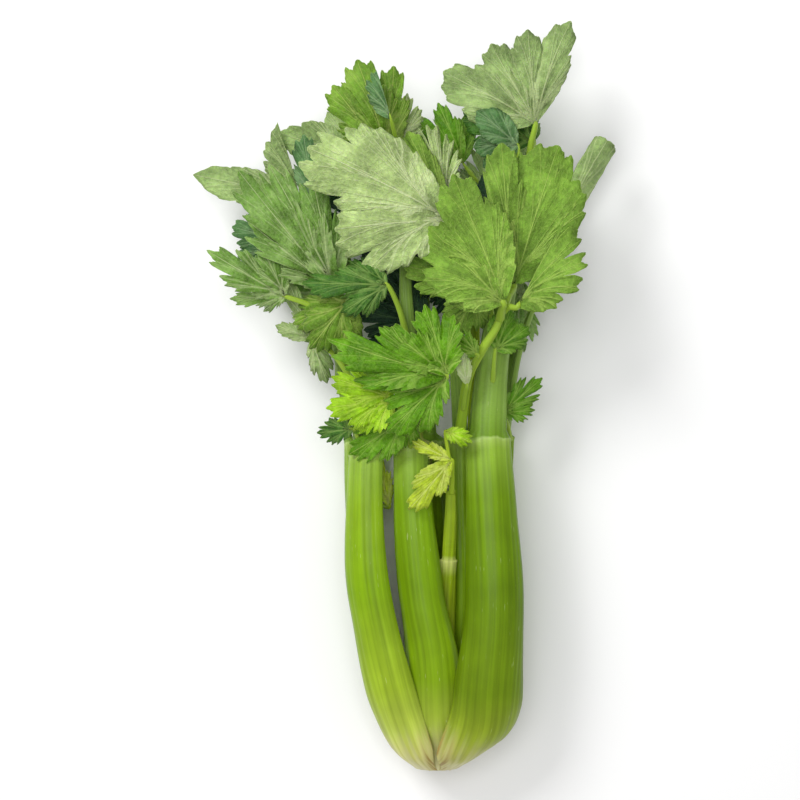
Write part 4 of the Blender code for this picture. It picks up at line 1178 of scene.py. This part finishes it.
def stem_route(leaf):
    """The curve of a leaf's own stem, from inside its stalk into the end of the blade's midrib."""
    stalk_name, at = leaf.stem
    route = BRANCH_ROUTE if stalk_name == "branch" else STALKS[stalk_name].route + STALKS[stalk_name].rachis
    path = smooth_path(route, np.linspace(0.0, 1.0, 200))
    start = path[np.argmin(np.abs(path[:, 1] - at))] - np.array([0.0, 0.0, STEM_START])
    end = np.array(leaf.base, dtype=float)
    span = np.linalg.norm(end - start)
    middle = start + (end - start) * STEM_MIDDLE + np.array(STEM_RISE) * span
    into = math.radians(leaf.lobes[len(leaf.lobes) // 2].heading)
    tip = end + np.array([math.cos(into), math.sin(into), 0.0]) * STEM_INTO + np.array([0.0, 0.0, -0.4])
    route = [start, middle, end - np.array([0.0, 0.0, 0.5]), tip]
    return smooth_path(route, np.linspace(0.0, 1.0, STEM_SECTIONS)), span


def stem_mesh(leaf, skin):
    """A leaf's own stem: a tapered tube from its stalk to the end of the blade's midrib."""
    route, span = stem_route(leaf)
    thick = STEM_RADIUS + max(lobe.length for lobe in leaf.lobes) * STEM_GAIN
    radius = thick * np.linspace(*STEM_TAPER, STEM_SECTIONS)
    radius[-len(STEM_TIP):] *= np.array(STEM_TIP)
    swing = ring(STEM_POINTS)
    ribbed = 1 + 0.07 * np.cos(5 * swing)
    tangent = unit(np.gradient(route, axis=0))
    side = unit(np.cross(tangent, np.array([0.0, 0.0, 1.0])))
    points = swept(route, side, np.cross(side, tangent), np.outer(radius, np.cos(swing) * ribbed),
                   np.outer(radius, np.sin(swing) * ribbed))
    points[:, :, 2] = np.maximum(points[:, :, 2], LOWEST)
    ones = np.ones((STEM_SECTIONS, STEM_POINTS))
    along = np.linspace(0.0, span, STEM_SECTIONS)[:, None]
    lay = np.stack([swing * radius[:, None], along * ones, ones], axis=-1)
    mesh = grid_mesh("stem", points, {"rise": 1.8 * ones, "ridge": ones, "lay": lay})
    mesh.materials.append(skin)
    return turn_faces(mesh)


def make_leaf(name, leaf, number, tree, skins, stalk_skins):
    """A leaf: its lobes, with a different upper and under side, and its stem."""
    is_upper = leaf.side == "upper"
    top = skins[leaf.skin, leaf.side]
    values = {"Skin": top, "Pucker": (PUCKER if is_upper else -PUCKER) * MM, "Crinkle": CRINKLE * MM}
    meshes = []
    for index, lobe in enumerate(leaf.lobes):
        blade = turn_faces(lobe_mesh(leaf, lobe, number * 10 + index), is_blade=True)
        blade.materials.append(top)
        blade.materials.append(skins[leaf.skin, "under" if is_upper else "upper"])
        meshes.append(grow(blade, tree, values, thickness=BLADE_THICKNESS))
    from_heart = leaf.skin in ("yellow", "lime")
    meshes.append(stem_mesh(leaf, stalk_skins["heart" if from_heart else "branch"]))
    place(f"{name}_blade", joined(meshes), name)


# ---------------------------------------------------------------- the studio

def make_studio():
    """A pale table, soft light and the camera straight above."""
    bpy.ops.mesh.primitive_plane_add(size=TABLE_SIZE, location=(0, 0, TABLE_TOP))
    table = bpy.context.object
    table.name = "table"
    table.data.materials.append(new_skin("pale_table", {"Base Color": TABLE_COLOUR, "Roughness": 0.7})[0])
    world = bpy.data.worlds.new("studio")
    world.use_nodes = True
    world.node_tree.nodes["Background"].inputs["Color"].default_value = (1, 1, 1, 1)
    world.node_tree.nodes["Background"].inputs["Strength"].default_value = SKY
    bpy.context.scene.world = world
    for stand, size, power in SOFTBOXES:
        lamp = bpy.data.lights.new("softbox", "AREA")
        lamp.size, lamp.energy = size, power
        item = add_object("softbox", lamp)
        item.location = stand
        item.rotation_euler = (-mathutils.Vector(stand)).to_track_quat("-Z", "Y").to_euler()
    lens = bpy.data.cameras.new("above")
    lens.sensor_width = SENSOR
    lens.lens = SENSOR * (CAMERA_HEIGHT - VIEW_HEIGHT) / VIEW_WIDTH
    camera = add_object("above", lens)
    camera.location = (0.0, CAMERA_Y, CAMERA_HEIGHT)
    bpy.context.scene.camera = camera
    bpy.context.scene.view_settings.view_transform = "Standard"


make_studio()
stalk_skins = {kind: stalk_material(kind) for kind in STALK_COLOURS}
leaf_skins = {(skin, side): leaf_material(skin, side) for skin in LEAF_SKINS for side in ("upper", "under")}
ribbing = rib_tree()
relief = relief_tree()
for stalk_name, stalk in STALKS.items():
    make_stalk(stalk_name, stalk_grid(stalk), ribbing, stalk_skins[stalk.skin],
               max(4, round(stalk.width / RIB_SPACING)), RIB_DEPTH, STALK_UNEVENNESS)
make_stalk("stalk_right_branch", branch_grid(), ribbing, stalk_skins["branch"], BRANCH_RIBS,
           BRANCH_RIB_DEPTH, BRANCH_UNEVENNESS)
for leaf_number, (leaf_name, leaf) in enumerate(LEAVES.items(), start=1):
    make_leaf(leaf_name, leaf, leaf_number, relief, leaf_skins, stalk_skins)
make_root()
